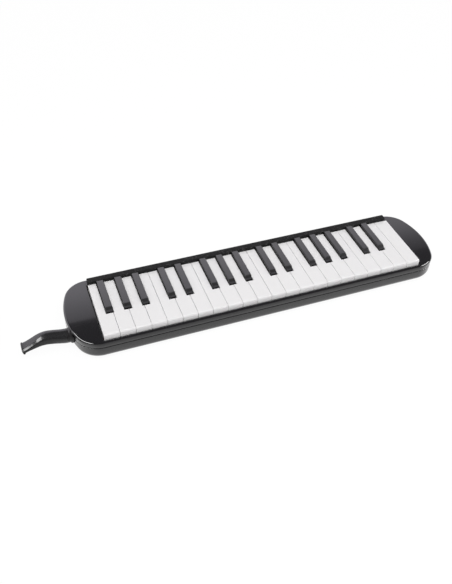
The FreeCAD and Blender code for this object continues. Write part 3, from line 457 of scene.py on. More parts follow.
@dataclass
class Skin:
    """Collects surfaces in millimetres and makes one mesh object of them."""

    name: str
    points: list[Array] = field(default_factory=list)
    faces: list[list[int]] = field(default_factory=list)
    paint: list[int] = field(default_factory=list)
    count: int = 0

    def grid(self, points: Array, wrap: bool = True, loop: bool = False, slot: int = 0) -> int:
        """Quads over a grid of points.

        Args:
            points: (rows, columns, 3).
            wrap: whether the last column joins the first.
            loop: whether the last row joins the first.
            slot: material index.

        Returns:
            Index of the first point.
        """
        rows, columns = points.shape[:2]
        first = self.count
        index = np.arange(rows * columns).reshape(rows, columns) + first
        if wrap:
            index = np.concatenate([index, index[:, :1]], axis=1)
        if loop:
            index = np.concatenate([index, index[:1]], axis=0)
        quads = np.stack([index[:-1, :-1], index[:-1, 1:], index[1:, 1:], index[1:, :-1]], axis=-1)
        self.faces += quads.reshape(-1, 4).tolist()
        self.paint += [slot] * quads.reshape(-1, 4).shape[0]
        self.points.append(points.reshape(-1, 3))
        self.count += rows * columns
        return first

    def tube(self, points: Array, slot: int = 0) -> None:
        """Rings joined in order, with a flat face over the first and the last one."""
        rows, columns = points.shape[:2]
        first = self.grid(points, slot=slot)
        for start in (first, first + (rows - 1) * columns):
            self.faces.append(list(range(start, start + columns)))
            self.paint.append(slot)

    def lathe(
        self, origin: Sequence[float], along: str, profile: Sequence[Pair], sides: int, closed: bool = False
    ) -> None:
        """Surface of revolution.

        Each profile point (reach along the axis, radius) becomes a circle about the axis.

        Args:
            origin: a point of the axis.
            along: "x" or "z", the axis.
            profile: the points in order.
            sides: points per circle.
            closed: whether the last circle joins the first, instead of flat ends.
        """
        table = np.array(profile, float)
        across = table[:, 1][:, None, None] * circle(sides)
        reach = np.broadcast_to(table[:, 0][:, None], across.shape[:2])
        if along == "x":
            points = np.stack([reach, across[..., 0], across[..., 1]], axis=-1)
        else:
            points = np.stack([across[..., 0], across[..., 1], reach], axis=-1)
        points = points + np.array(origin, float)
        if closed:
            self.grid(points, loop=True)
        else:
            self.tube(points)

    def block(self, low: Sequence[float], high: Sequence[float], soft: float = 0.15, slot: int = 0) -> None:
        """Box with softened edges: four level rings with cut corners, the first and last one drawn in."""
        (x0, y0, z0), (x1, y1, z1) = low, high
        rows = []
        for z, inset in ((z0, soft), (z0 + soft, 0.0), (z1 - soft, 0.0), (z1, soft)):
            a, b, c, d = x0 + inset, x1 - inset, y0 + inset, y1 - inset
            rows.append([
                (a + soft, c, z), (b - soft, c, z), (b, c + soft, z), (b, d - soft, z),
                (b - soft, d, z), (a + soft, d, z), (a, d - soft, z), (a, c + soft, z),
            ])
        self.tube(np.array(rows, float), slot)

    def build(self, materials: Iterable[bpy.types.Material], sharp: float = SHARP) -> bpy.types.Object:
        """Make the object: doubles merged, normals outwards, smooth below the sharp angle in degrees."""
        mesh = bpy.data.meshes.new(self.name)
        mesh.from_pydata((np.concatenate(self.points) * MM).tolist(), [], self.faces)
        mesh.polygons.foreach_set("material_index", np.array(self.paint, np.int32))
        shape = bmesh.new()
        shape.from_mesh(mesh)
        bmesh.ops.remove_doubles(shape, verts=shape.verts, dist=2e-6)
        bmesh.ops.dissolve_degenerate(shape, edges=shape.edges, dist=1e-7)
        bmesh.ops.recalc_face_normals(shape, faces=shape.faces)
        shape.to_mesh(mesh)
        shape.free()
        for material in materials:
            mesh.materials.append(material)
        smoothed(mesh, sharp)
        piece = bpy.data.objects.new(self.name, mesh)
        bpy.context.scene.collection.objects.link(piece)
        return piece


def smoothed(mesh: bpy.types.Mesh, sharp: float) -> None:
    """Shade a mesh smooth, apart from edges over the sharp angle in degrees."""
    mesh.shade_smooth()
    mesh.set_sharp_from_angle(angle=math.radians(sharp))


def carve(piece: bpy.types.Object, cutter: bpy.types.Object) -> None:
    """Cut the cutter's volume out of a piece, apply it and delete the cutter."""
    modifier = piece.modifiers.new("carve", "BOOLEAN")
    modifier.operation = "DIFFERENCE"
    modifier.solver = "EXACT"
    modifier.object = cutter
    graph = bpy.context.evaluated_depsgraph_get()
    graph.update()
    cut = bpy.data.meshes.new_from_object(piece.evaluated_get(graph))
    piece.modifiers.clear()
    piece.data = cut
    smoothed(cut, SHARP)
    bpy.data.objects.remove(cutter)


def settle(piece: bpy.types.Object, body: str, nodes: Sequence[str]) -> bpy.types.Object:
    """Let a piece ride on its body and the nodes that it stands for, and report it."""
    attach(piece, body)
    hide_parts(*nodes)
    LOG.info("%s rides on %s with %d faces", piece.name, body, len(piece.data.polygons))
    return piece


# ---------------------------------------------------------------- case


@dataclass
class Outline:
    """Plan of the case: straight sides, corner arcs and one large arc at each end.

    Every sample keeps the centre, radius and outward direction of its arc, so that an inset outline is
    centre + (radius - inset) * direction.
    """

    half_depth: float = 48.0
    end_centre: float = 125.7
    end_radius: float = 86.0
    corner_radius: float = 26.0
    opening_half: float = 181.0
    opening_front: float = -45.0
    opening_back: float = 38.4

    def __post_init__(self) -> None:
        """Sample the outline once, anticlockwise from the middle of the front."""
        corner_y = self.half_depth - self.corner_radius
        corner_x = self.end_centre + math.sqrt((self.end_radius - self.corner_radius) ** 2 - corner_y**2)
        lean = math.degrees(math.atan2(corner_y, corner_x - self.end_centre))
        front = self.samples(
            np.linspace(0.0, self.opening_half, 28), -corner_y, self.corner_radius, -math.pi / 2)
        corner = self.samples(corner_x, -corner_y, self.corner_radius, arc(-90, -lean, 18))
        end = self.samples(self.end_centre, 0.0, self.end_radius, arc(-lean, 0, 12)[1:])
        quadrant = np.concatenate([front, corner, end])
        upper = quadrant[::-1][1:] * np.array([1, -1, 1, 1, -1])
        half = np.concatenate([quadrant, upper])
        left = half[::-1][1:-1] * np.array([-1, 1, 1, -1, 1])
        self.table = np.concatenate([half, left])

    def samples(self, x: Array | float, y: float, radius: float, angle: Array | float) -> Array:
        """Rows of centre x, centre y, radius, direction x, direction y."""
        return np.stack(np.broadcast_arrays(x, y, radius, np.cos(angle), np.sin(angle)), axis=-1)

    def inset(self, distance: float) -> Array:
        """The outline moved inwards, as (samples, 2)."""
        centre = self.table[:, 0:2]
        return centre + (self.table[:, 2:3] - distance) * self.table[:, 3:5]

    def opening(self, distance: float) -> Array:
        """The keyboard opening's edge moved outwards, with one point for each outline sample.

        A sample on a straight side meets the opening straight across from it. The samples of an end share the
        opening's short side in proportion to their number.
        """
        edge = self.inset(0.0)
        points = np.empty_like(edge)
        away = np.zeros_like(edge)
        beside = np.abs(edge[:, 0]) <= self.opening_half + 1e-6
        front = edge[:, 1] < 0
        points[:, 0] = edge[:, 0]
        points[:, 1] = np.where(front, self.opening_front, self.opening_back)
        away[:, 1] = np.where(front, -1.0, 1.0)
        corners = np.abs(np.abs(edge[:, 0]) - self.opening_half) < 1e-6
        away[corners, 0] = np.sign(edge[corners, 0])
        for side in (1.0, -1.0):
            chosen = np.flatnonzero(~beside & (np.sign(edge[:, 0]) == side))
            chosen = chosen[np.argsort(np.unwrap(np.arctan2(edge[chosen, 1], side * edge[chosen, 0])))]
            share = np.arange(1, len(chosen) + 1) / (len(chosen) + 1)
            points[chosen, 0] = side * self.opening_half
            points[chosen, 1] = self.opening_front + share * (self.opening_back - self.opening_front)
            away[chosen] = (side, 0.0)
        return points + distance * away

    def outer_rings(self, profile: Iterable[Pair]) -> list[Array]:
        """The outline at each (inset, height) of a profile."""
        return [at_height(self.inset(inset), z) for inset, z in profile]

    def opening_rings(self, profile: Iterable[Pair]) -> list[Array]:
        """The opening's edge at each (distance outwards, height) of a profile."""
        return [at_height(self.opening(out), z) for out, z in profile]


@dataclass
class Case:
    """The two case halves and the screws that join them.

    Attributes:
        tongue_play: play of the tongue in its rebate, sideways and above.
        floor_middle: where the floor's middle line ends, as a share of the way to the outline.
        slot_rows: where each row of sound slots starts.
        slot_reach: front and back of the slots.
    """

    outline: Outline = field(default_factory=Outline)
    parting: float = 15.5
    gap: float = 0.6
    tongue: float = 1.8
    tongue_play: Pair = (0.1, 0.15)
    top: float = 23.0
    plate: float = 2.0
    wall: float = 2.2
    cover_round: float = 2.0
    base_round: float = 8.0
    parting_round: float = 0.3
    opening_round: float = 0.35
    floor_middle: float = 0.84
    bed_underside: float = 14.5
    post: float = 3.2
    socket_y: float = -17.5
    socket_z: float = 13.4
    socket_hole: float = 7.6
    button_z: float = 10.6
    button_hole: float = 3.8
    slot_rows: Pair = (-97.5, 62.5)
    slot_count: int = 8
    slot_pitch: float = 5.0
    slot_width: float = 2.4
    slot_reach: Pair = (-39.0, -31.0)
    ribs: Triple = (-16.0, 8.0, 32.0)
    rib_half: float = 170.0
    rib_width: float = 1.6
    rib_top: float = 3.55
    screw_head: float = 2.7
    screw_shank: float = 1.2
    seat: float = 2.85
    end_screws: tuple[Pair, ...] = ((-188, -33), (188, -33), (-188, 33), (188, 33))
    bed_screws: tuple[Pair, ...] = ((-120, -35), (-40, -35), (40, -35), (120, -35))

    def cover(self) -> bpy.types.Object:
        """Upper half: one closed ring of profile levels between the opening and the outer edge.

        From the opening outwards: opening wall, its small rounding, flat plate, edge rounding, side, lower lip
        with a rebate, inner wall and the plate's underside.
        """
        top, wall, soft = self.top, self.wall, self.opening_round
        foot, rebate, underside = self.parting + self.gap, self.parting + self.tongue, top - self.plate
        opening = [(0.0, underside), (0.0, top - 0.8)]
        opening += [(a, top - b) for a, b in quarter(soft, 4)]
        opening += [(2 * soft, top)]
        outer = [(self.cover_round + 0.15, top)]
        outer += [(b, top - a) for a, b in quarter(self.cover_round, 14)]
        outer += [(0.0, top - self.cover_round - 0.4)]
        outer += [(a, foot + b) for a, b in quarter(self.parting_round, 4)]
        outer += [(wall / 2, foot), (wall / 2, rebate), (wall, rebate), (wall, underside)]
        skin = Skin("upper_case_shell")
        skin.grid(np.stack(self.outline.opening_rings(opening) + self.outline.outer_rings(outer)), loop=True)
        for x, y in self.end_screws:
            skin.lathe((x, y, 0), "z", [(self.parting + 0.02, self.post), (underside + 0.3, self.post)], 24)
        piece = skin.build([Surface.COVER.material()])
        carve(piece, self.socket_cutter())
        return settle(piece, "case", ["upper_case"])

    def socket_cutter(self) -> bpy.types.Object:
        """Round bar through the bass end where the collar passes."""
        skin = Skin("socket_cutter")
        bar = [(-218, self.socket_hole), (-202, self.socket_hole)]
        skin.lathe((0, self.socket_y, self.socket_z), "x", bar, 64)
        return skin.build([])

    def base(self) -> bpy.types.Object:
        """Lower half: a closed cup of profile levels, its floor drawn in to a line of centre points.

        From the outer floor: flat, large rounding, side, parting edge, tongue, inner wall and inner floor.
        """
        wall, parting = self.wall, self.parting
        middle = at_height(self.outline.inset(0.0) * np.array([self.floor_middle, 0.0]), 0.0)
        slack, short = self.tongue_play
        tongue, high = wall / 2 + slack, parting + self.tongue - short
        outer = [(self.base_round + 0.6, 0.0)]
        outer += [(b, a) for a, b in quarter(self.base_round, 16)]
        outer += [(0.0, parting - self.parting_round - 0.5)]
        outer += [(a, parting - b) for a, b in quarter(self.parting_round, 4)]
        outer += [(tongue, parting), (tongue, high), (wall, high)]
        outer += [(wall + b, wall + a) for a, b in reversed(quarter(self.base_round - wall, 6))]
        skin = Skin("lower_case_shell")
        skin.grid(np.stack([middle, *self.outline.outer_rings(outer), middle + np.array([0.0, 0.0, wall])]))
        sunk = wall - 0.4
        for spots, height in ((self.end_screws, parting), (self.bed_screws, self.bed_underside)):
            for x, y in spots:
                skin.lathe((x, y, 0), "z", [(sunk, self.post + 0.4), (height, self.post)], 24)
        for y in self.ribs:
            skin.block((-self.rib_half, y, sunk), (self.rib_half, y + self.rib_width, self.rib_top))
        piece = skin.build([Surface.CASE.material()])
        carve(piece, self.socket_cutter())
        carve(piece, self.floor_cutter())
        return settle(piece, "case", ["lower_case"])

    def floor_cutter(self) -> bpy.types.Object:
        """Sound slots, sunk screw seats and the drain button's hole."""
        skin = Skin("floor_cutter")
        front, back = self.slot_reach
        for start in self.slot_rows:
            for step in range(self.slot_count):
                x = start + self.slot_pitch * step
                skin.block((x, front, -1), (x + self.slot_width, back, self.wall + 1), 0.3)
        for x, y in self.end_screws + self.bed_screws:
            skin.lathe((x, y, 0), "z", [(-1, self.seat + 0.25), (0.25, self.seat), (3.0, self.seat)], 40)
        skin.lathe((0, 0, self.button_z), "x", [(207, self.button_hole), (216, self.button_hole)], 56)
        return skin.build([])

    def screws(self) -> bpy.types.Object:
        """Eight pan-head screws seen from below, with a cross recess.

        The head's face goes from the round rim to the outline of the cross by a straight blend, and the
        recess is that outline sunk and tapered.
        """
        slim, length = 0.36, 1.45
        rim = circle(48)
        reach, wide = np.abs(rim).min(axis=1), np.abs(rim).max(axis=1)
        cross = rim * np.minimum(slim / np.maximum(reach, 1e-3), length / wide)[:, None]
        levels = [
            (3.0, rim * self.screw_head), (1.75, rim * self.screw_head), (1.4, rim * 2.55), (1.24, rim * 2.2),
            (1.2, rim * 1.75), (1.2, cross), (2.2, cross * 0.55),
        ]
        head = np.stack([at_height(plan, z) for z, plan in levels])
        skin = Skin("case_screw_set")
        for spots, tip in ((self.end_screws, 19.5), (self.bed_screws, 16.0)):
            shank = [(2.9, self.screw_shank), (tip - 0.8, self.screw_shank), (tip, self.screw_shank / 3)]
            for x, y in spots:
                skin.tube(head + np.array([x, y, 0.0]))
                skin.lathe((x, y, 0), "z", shank, 20)
        piece = skin.build([Surface.SCREW.material()])
        return settle(piece, "case", ["case_screws"])


@dataclass
class Strip:
    """Raised channel behind the keys.

    One side profile is carried along X. Its top corners are quarter circles, and towards each end the outer
    half of the profile draws in by a quarter circle as well.
    """

    left: float = -180.0
    right: float = 178.4
    front: float = 31.8
    back: float = 39.8
    foot: float = 23.0
    lip: float = 28.5
    high: float = 33.2
    thick: float = 1.4
    soft: float = 0.8
    back_round: float = 2.2
    steps: int = 90

    def build(self) -> bpy.types.Object:
        """Make the channel and its two end plates."""
        front, back, high, thick, foot = self.front, self.back, self.high, self.thick, self.foot
        outer = [(front, self.lip)]
        outer += [(front + a, high - b) for a, b in quarter(self.soft, 6)]
        outer += [(back - b, high - a) for a, b in quarter(self.back_round, 8)]
        outer += [(back, foot)]
        inner = [
            (back - thick, foot), (back - thick, high - thick), (front + thick, high - thick),
            (front + thick, self.lip),
        ]
        table = np.array(outer + inner, float)
        movable = np.arange(len(table))[:, None] < len(outer)
        inwards = np.sign(np.array([(front + back) / 2, high - 4.0]) - table) * movable
        inwards[table[:, 1] <= foot, 1] = 0.0
        ends = quarter(self.soft, 5)
        stations = [(self.left + b, a) for a, b in reversed(ends)]
        stations += [(x, 0.0) for x in np.linspace(self.left + 3, self.right - 3, self.steps)]
        stations += [(self.right - b, a) for a, b in ends]
        skin = Skin("rear_strip_cover")
        skin.tube(np.stack([at_x(table + inwards * draw, x) for x, draw in stations]))
        for start in (self.left + 0.25, self.right - 0.8):
            skin.block((start, front + 0.5, foot), (start + 0.55, back - 0.5, high - 0.8), 0.05)
        piece = skin.build([Surface.STRIP.material()])
        return settle(piece, "case", ["rear_strip"])


# ---------------------------------------------------------------- keys


@dataclass
class Station:
    """One cross-section of a key: the X of its outer and inner side walls, and the heights of roof and foot."""

    y: float
    sides: Pair
    inner: Pair
    top: float
    inner_top: float
    foot: float


@dataclass
class Keyboard:
    """Twenty-two white keys and fifteen black keys, each a hollow shell with its lever and valve pad."""

    left: float = -180.4
    pitch: float = 16.4
    semitone: float = 9.567
    lever_inset: float = 3.6
    gap: float = 0.3
    black_gap: float = 0.6
    black_front_gap: float = 1.2
    front: float = -44.4
    back: float = 31.4
    top: float = 29.5
    front_round: float = 2.0
    front_edge: float = 0.35
    apron: float = 21.0
    skirt: float = 22.5
    wall: float = 1.2
    plate: float = 1.8
    black_half: float = 3.6
    black_foot: float = -15.0
    black_top: float = 32.8
    black_sharp: float = 24.0
    soft: float = 0.4
    pivot_y: float = 10.0
    pivot_z: float = 20.0
    hub: float = 2.2
    lever_half: float = 2.0
    tail_front: float = 31.0
    tail_end: float = 37.4
    tail_underside: float = 19.1
    spring_seat: Pair = (-7.0, -5.0)
    spring_half: float = 1.4
    pad_front: float = 31.2
    pad_foot: float = 16.5
    pad_half: float = 3.4
    white_steps: tuple[int, ...] = (0, 2, 4, 6, 7, 9, 11)
    names: tuple[str, ...] = tuple("f f_sharp g g_sharp a a_sharp b c c_sharp d d_sharp e".split())
    count: int = 37

    def label(self, step: int) -> str:
        """Node name of the key at a number of semitones above the lowest one."""
        octave = 3 + (step + 5) // 12
        name = self.names[step % 12]
        return f"key_{name}_{octave}" if "sharp" in name else f"key_{name}{octave}"

    def is_white(self, step: int) -> bool:
        """Whether a key is white."""
        return step % 12 in self.white_steps

    def lever_x(self, step: int) -> float:
        """Middle of a key's lever."""
        return self.left + self.lever_inset + self.semitone * step

    def white_sides(self, step: int) -> tuple[float, float, float, float]:
        """Left and right of a white key at its front, and of its narrower stem between black keys."""
        number = sum(self.is_white(lower) for lower in range(step))
        left = self.left + self.pitch * number + self.gap / 2
        right = self.left + self.pitch * (number + 1) - self.gap / 2
        reach = self.black_half + self.black_gap
        stem_left, stem_right = left, right
        if step > 0 and not self.is_white(step - 1):
            stem_left = self.lever_x(step - 1) + reach
        if step < self.count - 1 and not self.is_white(step + 1):
            stem_right = self.lever_x(step + 1) - reach
        return left, right, stem_left, stem_right

    def section(self, at: Station) -> Array:
        """Closed cross-section ring of a station, as (points, 3).

        Outer wall up, quarter circle, roof, quarter circle, outer wall down, then the inner walls back.
        """
        (left, right), (inner_left, inner_right), foot, top = at.sides, at.inner, at.foot, at.top
        soft = min(self.soft, (right - left) / 4)
        inset, shoulder, middle = soft + 0.5, top - soft - 0.4, (foot + top) / 2
        outer = [(left, foot), (left, middle), (left, shoulder)]
        outer += [(left + a, top - b) for a, b in quarter(soft, 4)]
        outer += [(left + inset, top), ((left + right) / 2, top), (right - inset, top)]
        outer += [(right - b, top - a) for a, b in quarter(soft, 4)]
        outer += [(right, shoulder), (right, middle), (right, foot)]
        inner = [(inner_right, foot), (inner_right, at.inner_top), (inner_left, at.inner_top), (inner_left, foot)]
        return np.insert(np.array(outer + inner, float), 1, at.y, axis=1)

    def white_stations(self, step: int) -> list[Station]:
        """Cross-sections of a white key from front to back."""
        left, right, stem_left, stem_right = self.white_sides(step)
        wide, slim = (left, right), (stem_left, stem_right)
        wall, roof, r = self.wall, self.top - self.plate, self.front_round
        shoulder = self.black_foot - self.black_front_gap
        made: list[Station] = []

        def add(y: float, sides: Pair, hollow: bool, foot: float = self.skirt, top: float = self.top) -> None:
            """Append one station; a solid one has its inner corners on the foot."""
            inner = (sides[0] + wall, sides[1] - wall)
            made.append(Station(y, sides, inner, top, roof if hollow else foot, foot))

        for a, b in quarter(self.front_edge, 3)[:-1]:
            top = self.top - r + math.sqrt(r**2 - (r - a) ** 2)
            add(self.front + a, (left + b, right - b), False, self.apron, top)
        for t in arc(42, 90, 8):
            depth = r * (1 - math.cos(t))
            foot = self.apron if depth < wall else self.skirt
            add(self.front + depth, wide, depth > wall, foot, self.top - r + r * math.sin(t))
        add(self.front + r + 0.5, wide, True)
        add((self.front + shoulder) / 2, wide, True)
        for y, sides in ((-0.5, wide), (-0.02, wide), (0.02, slim), (0.5, slim)):
            add(shoulder + y, sides, True)
        add(self.back - wall - 0.02, slim, True)
        add(self.back - wall, slim, False)
        add(self.back, slim, False)
        return made

    def black_stations(self) -> list[Station]:
        """Cross-sections of a black key about X = 0, from its upright foot up the slope and along the top."""
        half, wall, high, skirt = self.black_half, self.wall, self.black_top, self.skirt
        inner, roof = (wall - half, half - wall), high - self.plate
        # distance from the foot, height, how far the sides draw in
        line = [
            (0.0, 29.9, 0.30), (0.05, 30.12, 0.14), (0.15, 30.3, 0.06), (0.3, 30.42, 0.02), (0.5, 30.5, 0.0),
            (0.9, 30.6, 0.0), (2.1, 30.9, 0.0), (2.35, 30.97, 0.0), (4.4, 32.55, 0.0), (4.65, 32.71, 0.0),
            (4.95, 32.79, 0.0), (5.3, high, 0.0), (6.0, high, 0.0), (20.0, high, 0.0),
        ]
        made = [
            Station(self.black_foot + reach, (draw - half, half - draw), inner, top, skirt, skirt)
            for reach, top, draw in line
        ]
        back = self.back - wall
        for y, inner_top in ((20.02, roof), (back - 0.02, roof), (back, skirt), (self.back, skirt)):
            made.append(Station(y, (-half, half), inner, high, inner_top, skirt))
        return made

    def lever(self, skin: Skin, x: float, roof: float) -> None:
        """Spring seat, hub, tail and valve pad under a key.

        The lever is one side profile carried across by its width; the hub is a polygon round the rod.
        """
        y, z, hub, half = self.pivot_y, self.pivot_z, self.hub, self.lever_half
        low, high, tail, tip = self.skirt + 0.5, roof + 0.2, self.tail_underside, self.tail_end
        neck, (seat_front, seat_back), pad_half = self.tail_front, self.spring_seat, self.pad_half
        profile = [
            (y - hub, z), (y - hub * 0.6, z - hub * 0.8), (y, z - hub), (y + hub * 0.6, z - hub * 0.8), (y + hub, z),
            (y + 5 * hub, tail), (tip, tail), (tip, low - 1), (neck, low), (neck, high), (y - hub, high),
        ]
        table = np.array(profile, float)
        skin.tube(np.stack([at_x(table, x - half), at_x(table, x + half)]), slot=1)
        skin.block(
            (x - self.spring_half, seat_front, self.skirt), (x + self.spring_half, seat_back, high), 0.1, slot=1)
        skin.block((x - pad_half, self.pad_front, self.pad_foot), (x + pad_half, tip, tail), 0.2, slot=2)

    def build(self) -> None:
        """Make every key and let it ride on its own body."""
        for step in range(self.count):
            label, middle, white = self.label(step), self.lever_x(step), self.is_white(step)
            stations = self.white_stations(step) if white else self.black_stations()
            shift = 0.0 if white else middle
            skin = Skin(label + "_shell")
            skin.tube(np.stack([self.section(at) for at in stations]) + np.array([shift, 0.0, 0.0]))
            self.lever(skin, middle, (self.top if white else self.black_top) - self.plate)
            paints = (Surface.WHITE, Surface.LEVER) if white else (Surface.BLACK, Surface.BED)
            sharp = SHARP if white else self.black_sharp
            piece = skin.build([paint.material() for paint in (*paints, Surface.PAD)], sharp)
            settle(piece, label, [label])


# ---------------------------------------------------------------- mouthpiece and drain


@dataclass
class Fittings:
    """Bent mouthpiece, its socket, and the drain button at the other end."""

    case: Case
    root: float = -214.0
    sides: int = 72
    bore: float = 3.75
    plug: float = 4.95
    collar: float = 7.5
    flange: float = 8.7
    flange_seat: float = -208.6
    button: float = 3.6
    button_flange: tuple[Triple, Triple] = ((208.1, -4.5, 7.0), (209.3, 4.5, 15.2))
    button_stem: tuple[Triple, Triple] = ((181.0, -1.2, 7.8), (208.3, 1.2, 10.2))
    # the rows: reach outwards, rise, half width, half height, slope in degrees, squareness
    body: tuple[tuple[float, ...], ...] = (
        (0.2, 0.0, 7.5, 7.5, 4.0, 2.0), (2.6, 0.3, 7.35, 7.4, 8.0, 2.0), (6.0, 1.0, 7.25, 7.2, 11.0, 2.0),
        (14.0, 2.9, 7.0, 6.9, 11.0, 2.1), (21.0, 3.8, 6.8, 6.2, 1.0, 2.4), (27.0, 2.9, 6.6, 4.9, -16.0, 2.8),
        (33.5, 0.5, 6.5, 3.4, -21.0, 3.2), (42.0, -2.75, 6.5, 2.4, -20.0, 3.6), (43.6, -3.3, 6.6, 2.4, -20.0, 3.8),
    )
    lip: tuple[tuple[float, ...], ...] = (
        (43.3, -3.3, 6.8, 2.6, -20.0, 3.6), (43.5, -3.4, 7.2, 2.95, -20.0, 3.6), (43.8, -3.5, 7.35, 3.1, -20.0, 3.6),
        (44.4, -3.7, 7.35, 3.1, -20.0, 3.6), (44.7, -3.8, 7.2, 2.95, -20.0, 3.6), (44.8, -3.85, 6.9, 2.7, -20.0, 3.6),
    )
    channel: tuple[tuple[float, ...], ...] = (
        (44.8, -3.85, 5.3, 1.25, -20.0, 3.4), (44.5, -3.75, 5.0, 1.0, -20.0, 3.4), (40.0, -2.0, 5.0, 1.2, -20.0, 3.2),
        (33.0, 0.7, 4.8, 1.9, -20.0, 2.8), (26.0, 3.0, 4.4, 2.8, -14.0, 2.4), (20.0, 3.7, 4.0, 3.3, 0.0, 2.0),
        (12.0, 2.4, 3.75, 3.5, 11.0, 2.0), (3.0, 0.5, 3.75, 3.75, 8.0, 2.0), (0.0, 0.0, 3.75, 3.75, 0.0, 2.0),
    )

    def rings(self, stations: Iterable[Sequence[float]]) -> Array:
        """Rings across the mouthpiece's line, from rows like those of the body.

        A ring is a superellipse: each coordinate is its half size times the sign-keeping power 2 / squareness
        of the cosine or sine. It stands across the line's slope.
        """
        reach, rise, half_width, half_height, slope, squareness = np.array(list(stations), float).T[..., None]
        unit = circle(self.sides)
        shape = np.sign(unit) * np.abs(unit) ** (2.0 / squareness[..., None])
        upright, tilt = shape[..., 1] * half_height, np.radians(slope)
        x = self.root - reach + upright * np.sin(tilt)
        z = self.case.socket_z + rise + upright * np.cos(tilt)
        return np.stack([x, self.case.socket_y + shape[..., 0] * half_width, z], axis=-1)

    def plug_rings(self, levels: Iterable[Pair]) -> Array:
        """Upright rings about the socket's axis, from (X, radius)."""
        return self.rings((self.root - x, 0.0, radius, radius, 0.0, 2.0) for x, radius in levels)

    def mouthpiece(self) -> bpy.types.Object:
        """The mouthpiece: plug, neck, bill and lip outside, then the air channel back through it.

        The rings run once round: out along the outside, over the lip, and back inside to the plug's end.
        """
        plug = self.plug_rings([
            (-202.5, 4.35), (-202.5, 4.65), (-202.8, self.plug - 0.02), (-208, self.plug), (-213.4, self.plug),
            (-213.95, self.plug), (-214.2, self.plug + 0.15), (-214.2, 7.3), (-214.3, 7.45),
        ])
        knots = np.array(self.body[1:])
        body = smooth_through(knots, knots[:, 0], np.linspace(knots[0, 0], knots[-1, 0], 60))
        body[:, 5] = np.maximum(body[:, 5], 2.0)  # never pinched between round rings
        bore = self.plug_rings([(-208, self.bore), (-202.5, self.bore)])
        skin = Skin("mouthpiece_tube")
        outside = [plug, self.rings(self.body[:1]), self.rings(body), self.rings(self.lip)]
        skin.grid(np.concatenate([*outside, self.rings(self.channel), bore]), loop=True)
        piece = skin.build([Surface.MOUTHPIECE.material()], sharp=40.0)
        return settle(piece, "mouthpiece", ["mouthpiece"])

    def socket(self) -> bpy.types.Object:
        """Collar with softened rims and a flange behind the wall, turned about the socket's axis."""
        skin = Skin("mouthpiece_collar")
        mouth, rim, groove, seat = self.root, self.collar, self.collar - 0.2, self.flange_seat
        profile = [
            (mouth, 5.2), (mouth, rim - 0.25), (-213.75, rim), (-212.5, rim), (-212.35, groove), (-211.9, groove),
            (-211.75, rim), (-211.2, 7.75), (-210.5, 8.4), (-210.1, self.flange), (seat, self.flange), (seat, rim),
            (-204.0, rim), (-204.0, rim + 0.2), (-202.0, rim + 0.2), (-202.0, 5.0), (mouth + 0.2, 5.0),
        ]
        skin.lathe((0, self.case.socket_y, self.case.socket_z), "x", profile, 96, closed=True)
        piece = skin.build([Surface.SOCKET.material()])
        return settle(piece, "case", ["mouthpiece_socket"])

    def drain_button(self) -> bpy.types.Object:
        """Button with a softened rim and a dished face, its stop flange and stem."""
        skin = Skin("drain_push_button")
        dish = [(213.62 - 0.35 * math.cos(t), 2.8 * math.sin(t)) for t in arc(3, 90, 7)]
        rim = [(213.75, 3.05), (213.72, 3.3), (213.5, 3.52), (213.2, self.button), (208.1, self.button)]
        skin.lathe((0, 0, self.case.button_z), "x", dish + rim, 64)
        skin.block(*self.button_flange, 0.2)
        skin.block(*self.button_stem, 0.1)
        piece = skin.build([Surface.BUTTON.material()])
        return settle(piece, "drain", ["drain_button"])


# ---------------------------------------------------------------- inner parts, stage and camera


@dataclass
class InnerParts:
    """Nodes whose own shapes stay: they only get their finishes."""

    finishes: dict[str, Surface] = field(default_factory=lambda: {
        "key_bed": Surface.BED, "pivot_rod": Surface.ROD, "guide_comb": Surface.COMB,
        "key_springs": Surface.SPRING, "stop_felt": Surface.FELT, "reed_plate_low": Surface.BRASS,
        "reed_plate_high": Surface.BRASS, "reeds": Surface.REED, "wind_chest": Surface.CHEST,
        "chest_gasket": Surface.RUBBER, "chest_screws": Surface.SCREW, "duct_seal": Surface.RUBBER,
        "air_duct": Surface.CHEST, "drain_valve": Surface.RUBBER, "drain_spring": Surface.SPRING,
    })

    def dress(self) -> None:
        """Assign each node's material slots."""
        for name, surface in self.finishes.items():
            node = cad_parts[name]
            if not node.data.materials:
                node.data.materials.append(None)
            for index in range(len(node.data.materials)):
                node.data.materials[index] = surface.material()
            LOG.info("%s keeps its shape and gets %s", name, surface.value.name)


class LampKind(Enum):
    """What a lamp does: it lights the surfaces evenly, or it only draws highlights on the gloss."""

    WASH = "wash"
    HIGHLIGHT = "highlight"


@dataclass(frozen=True)
class Lamp:
    """Rectangular soft lamp that faces the middle of the object.

    Attributes:
        name: its name.
        direction: where it stands, seen from the middle.
        size: its two sides in metres.
        power: in watts.
        kind: what it does.
        distance: from the middle, in metres.
    """

    name: str
    direction: Triple
    size: Pair
    power: float
    kind: LampKind = LampKind.HIGHLIGHT
    distance: float = 1.5

    def build(self) -> None:
        """Hang the lamp in the scene."""
        data = bpy.data.lights.new(self.name, "AREA")
        data.shape = "RECTANGLE"
        data.size, data.size_y = self.size
        data.energy = self.power
        lamp = bpy.data.objects.new(self.name, data)
        way = Vector(self.direction).normalized()
        lamp.location = way * self.distance
        lamp.rotation_mode = "QUATERNION"
        lamp.rotation_quaternion = way.to_track_quat("Z", "Y")
        lamp.visible_glossy = self.kind is LampKind.HIGHLIGHT
        lamp.visible_diffuse = self.kind is LampKind.WASH
        bpy.context.scene.collection.objects.link(lamp)


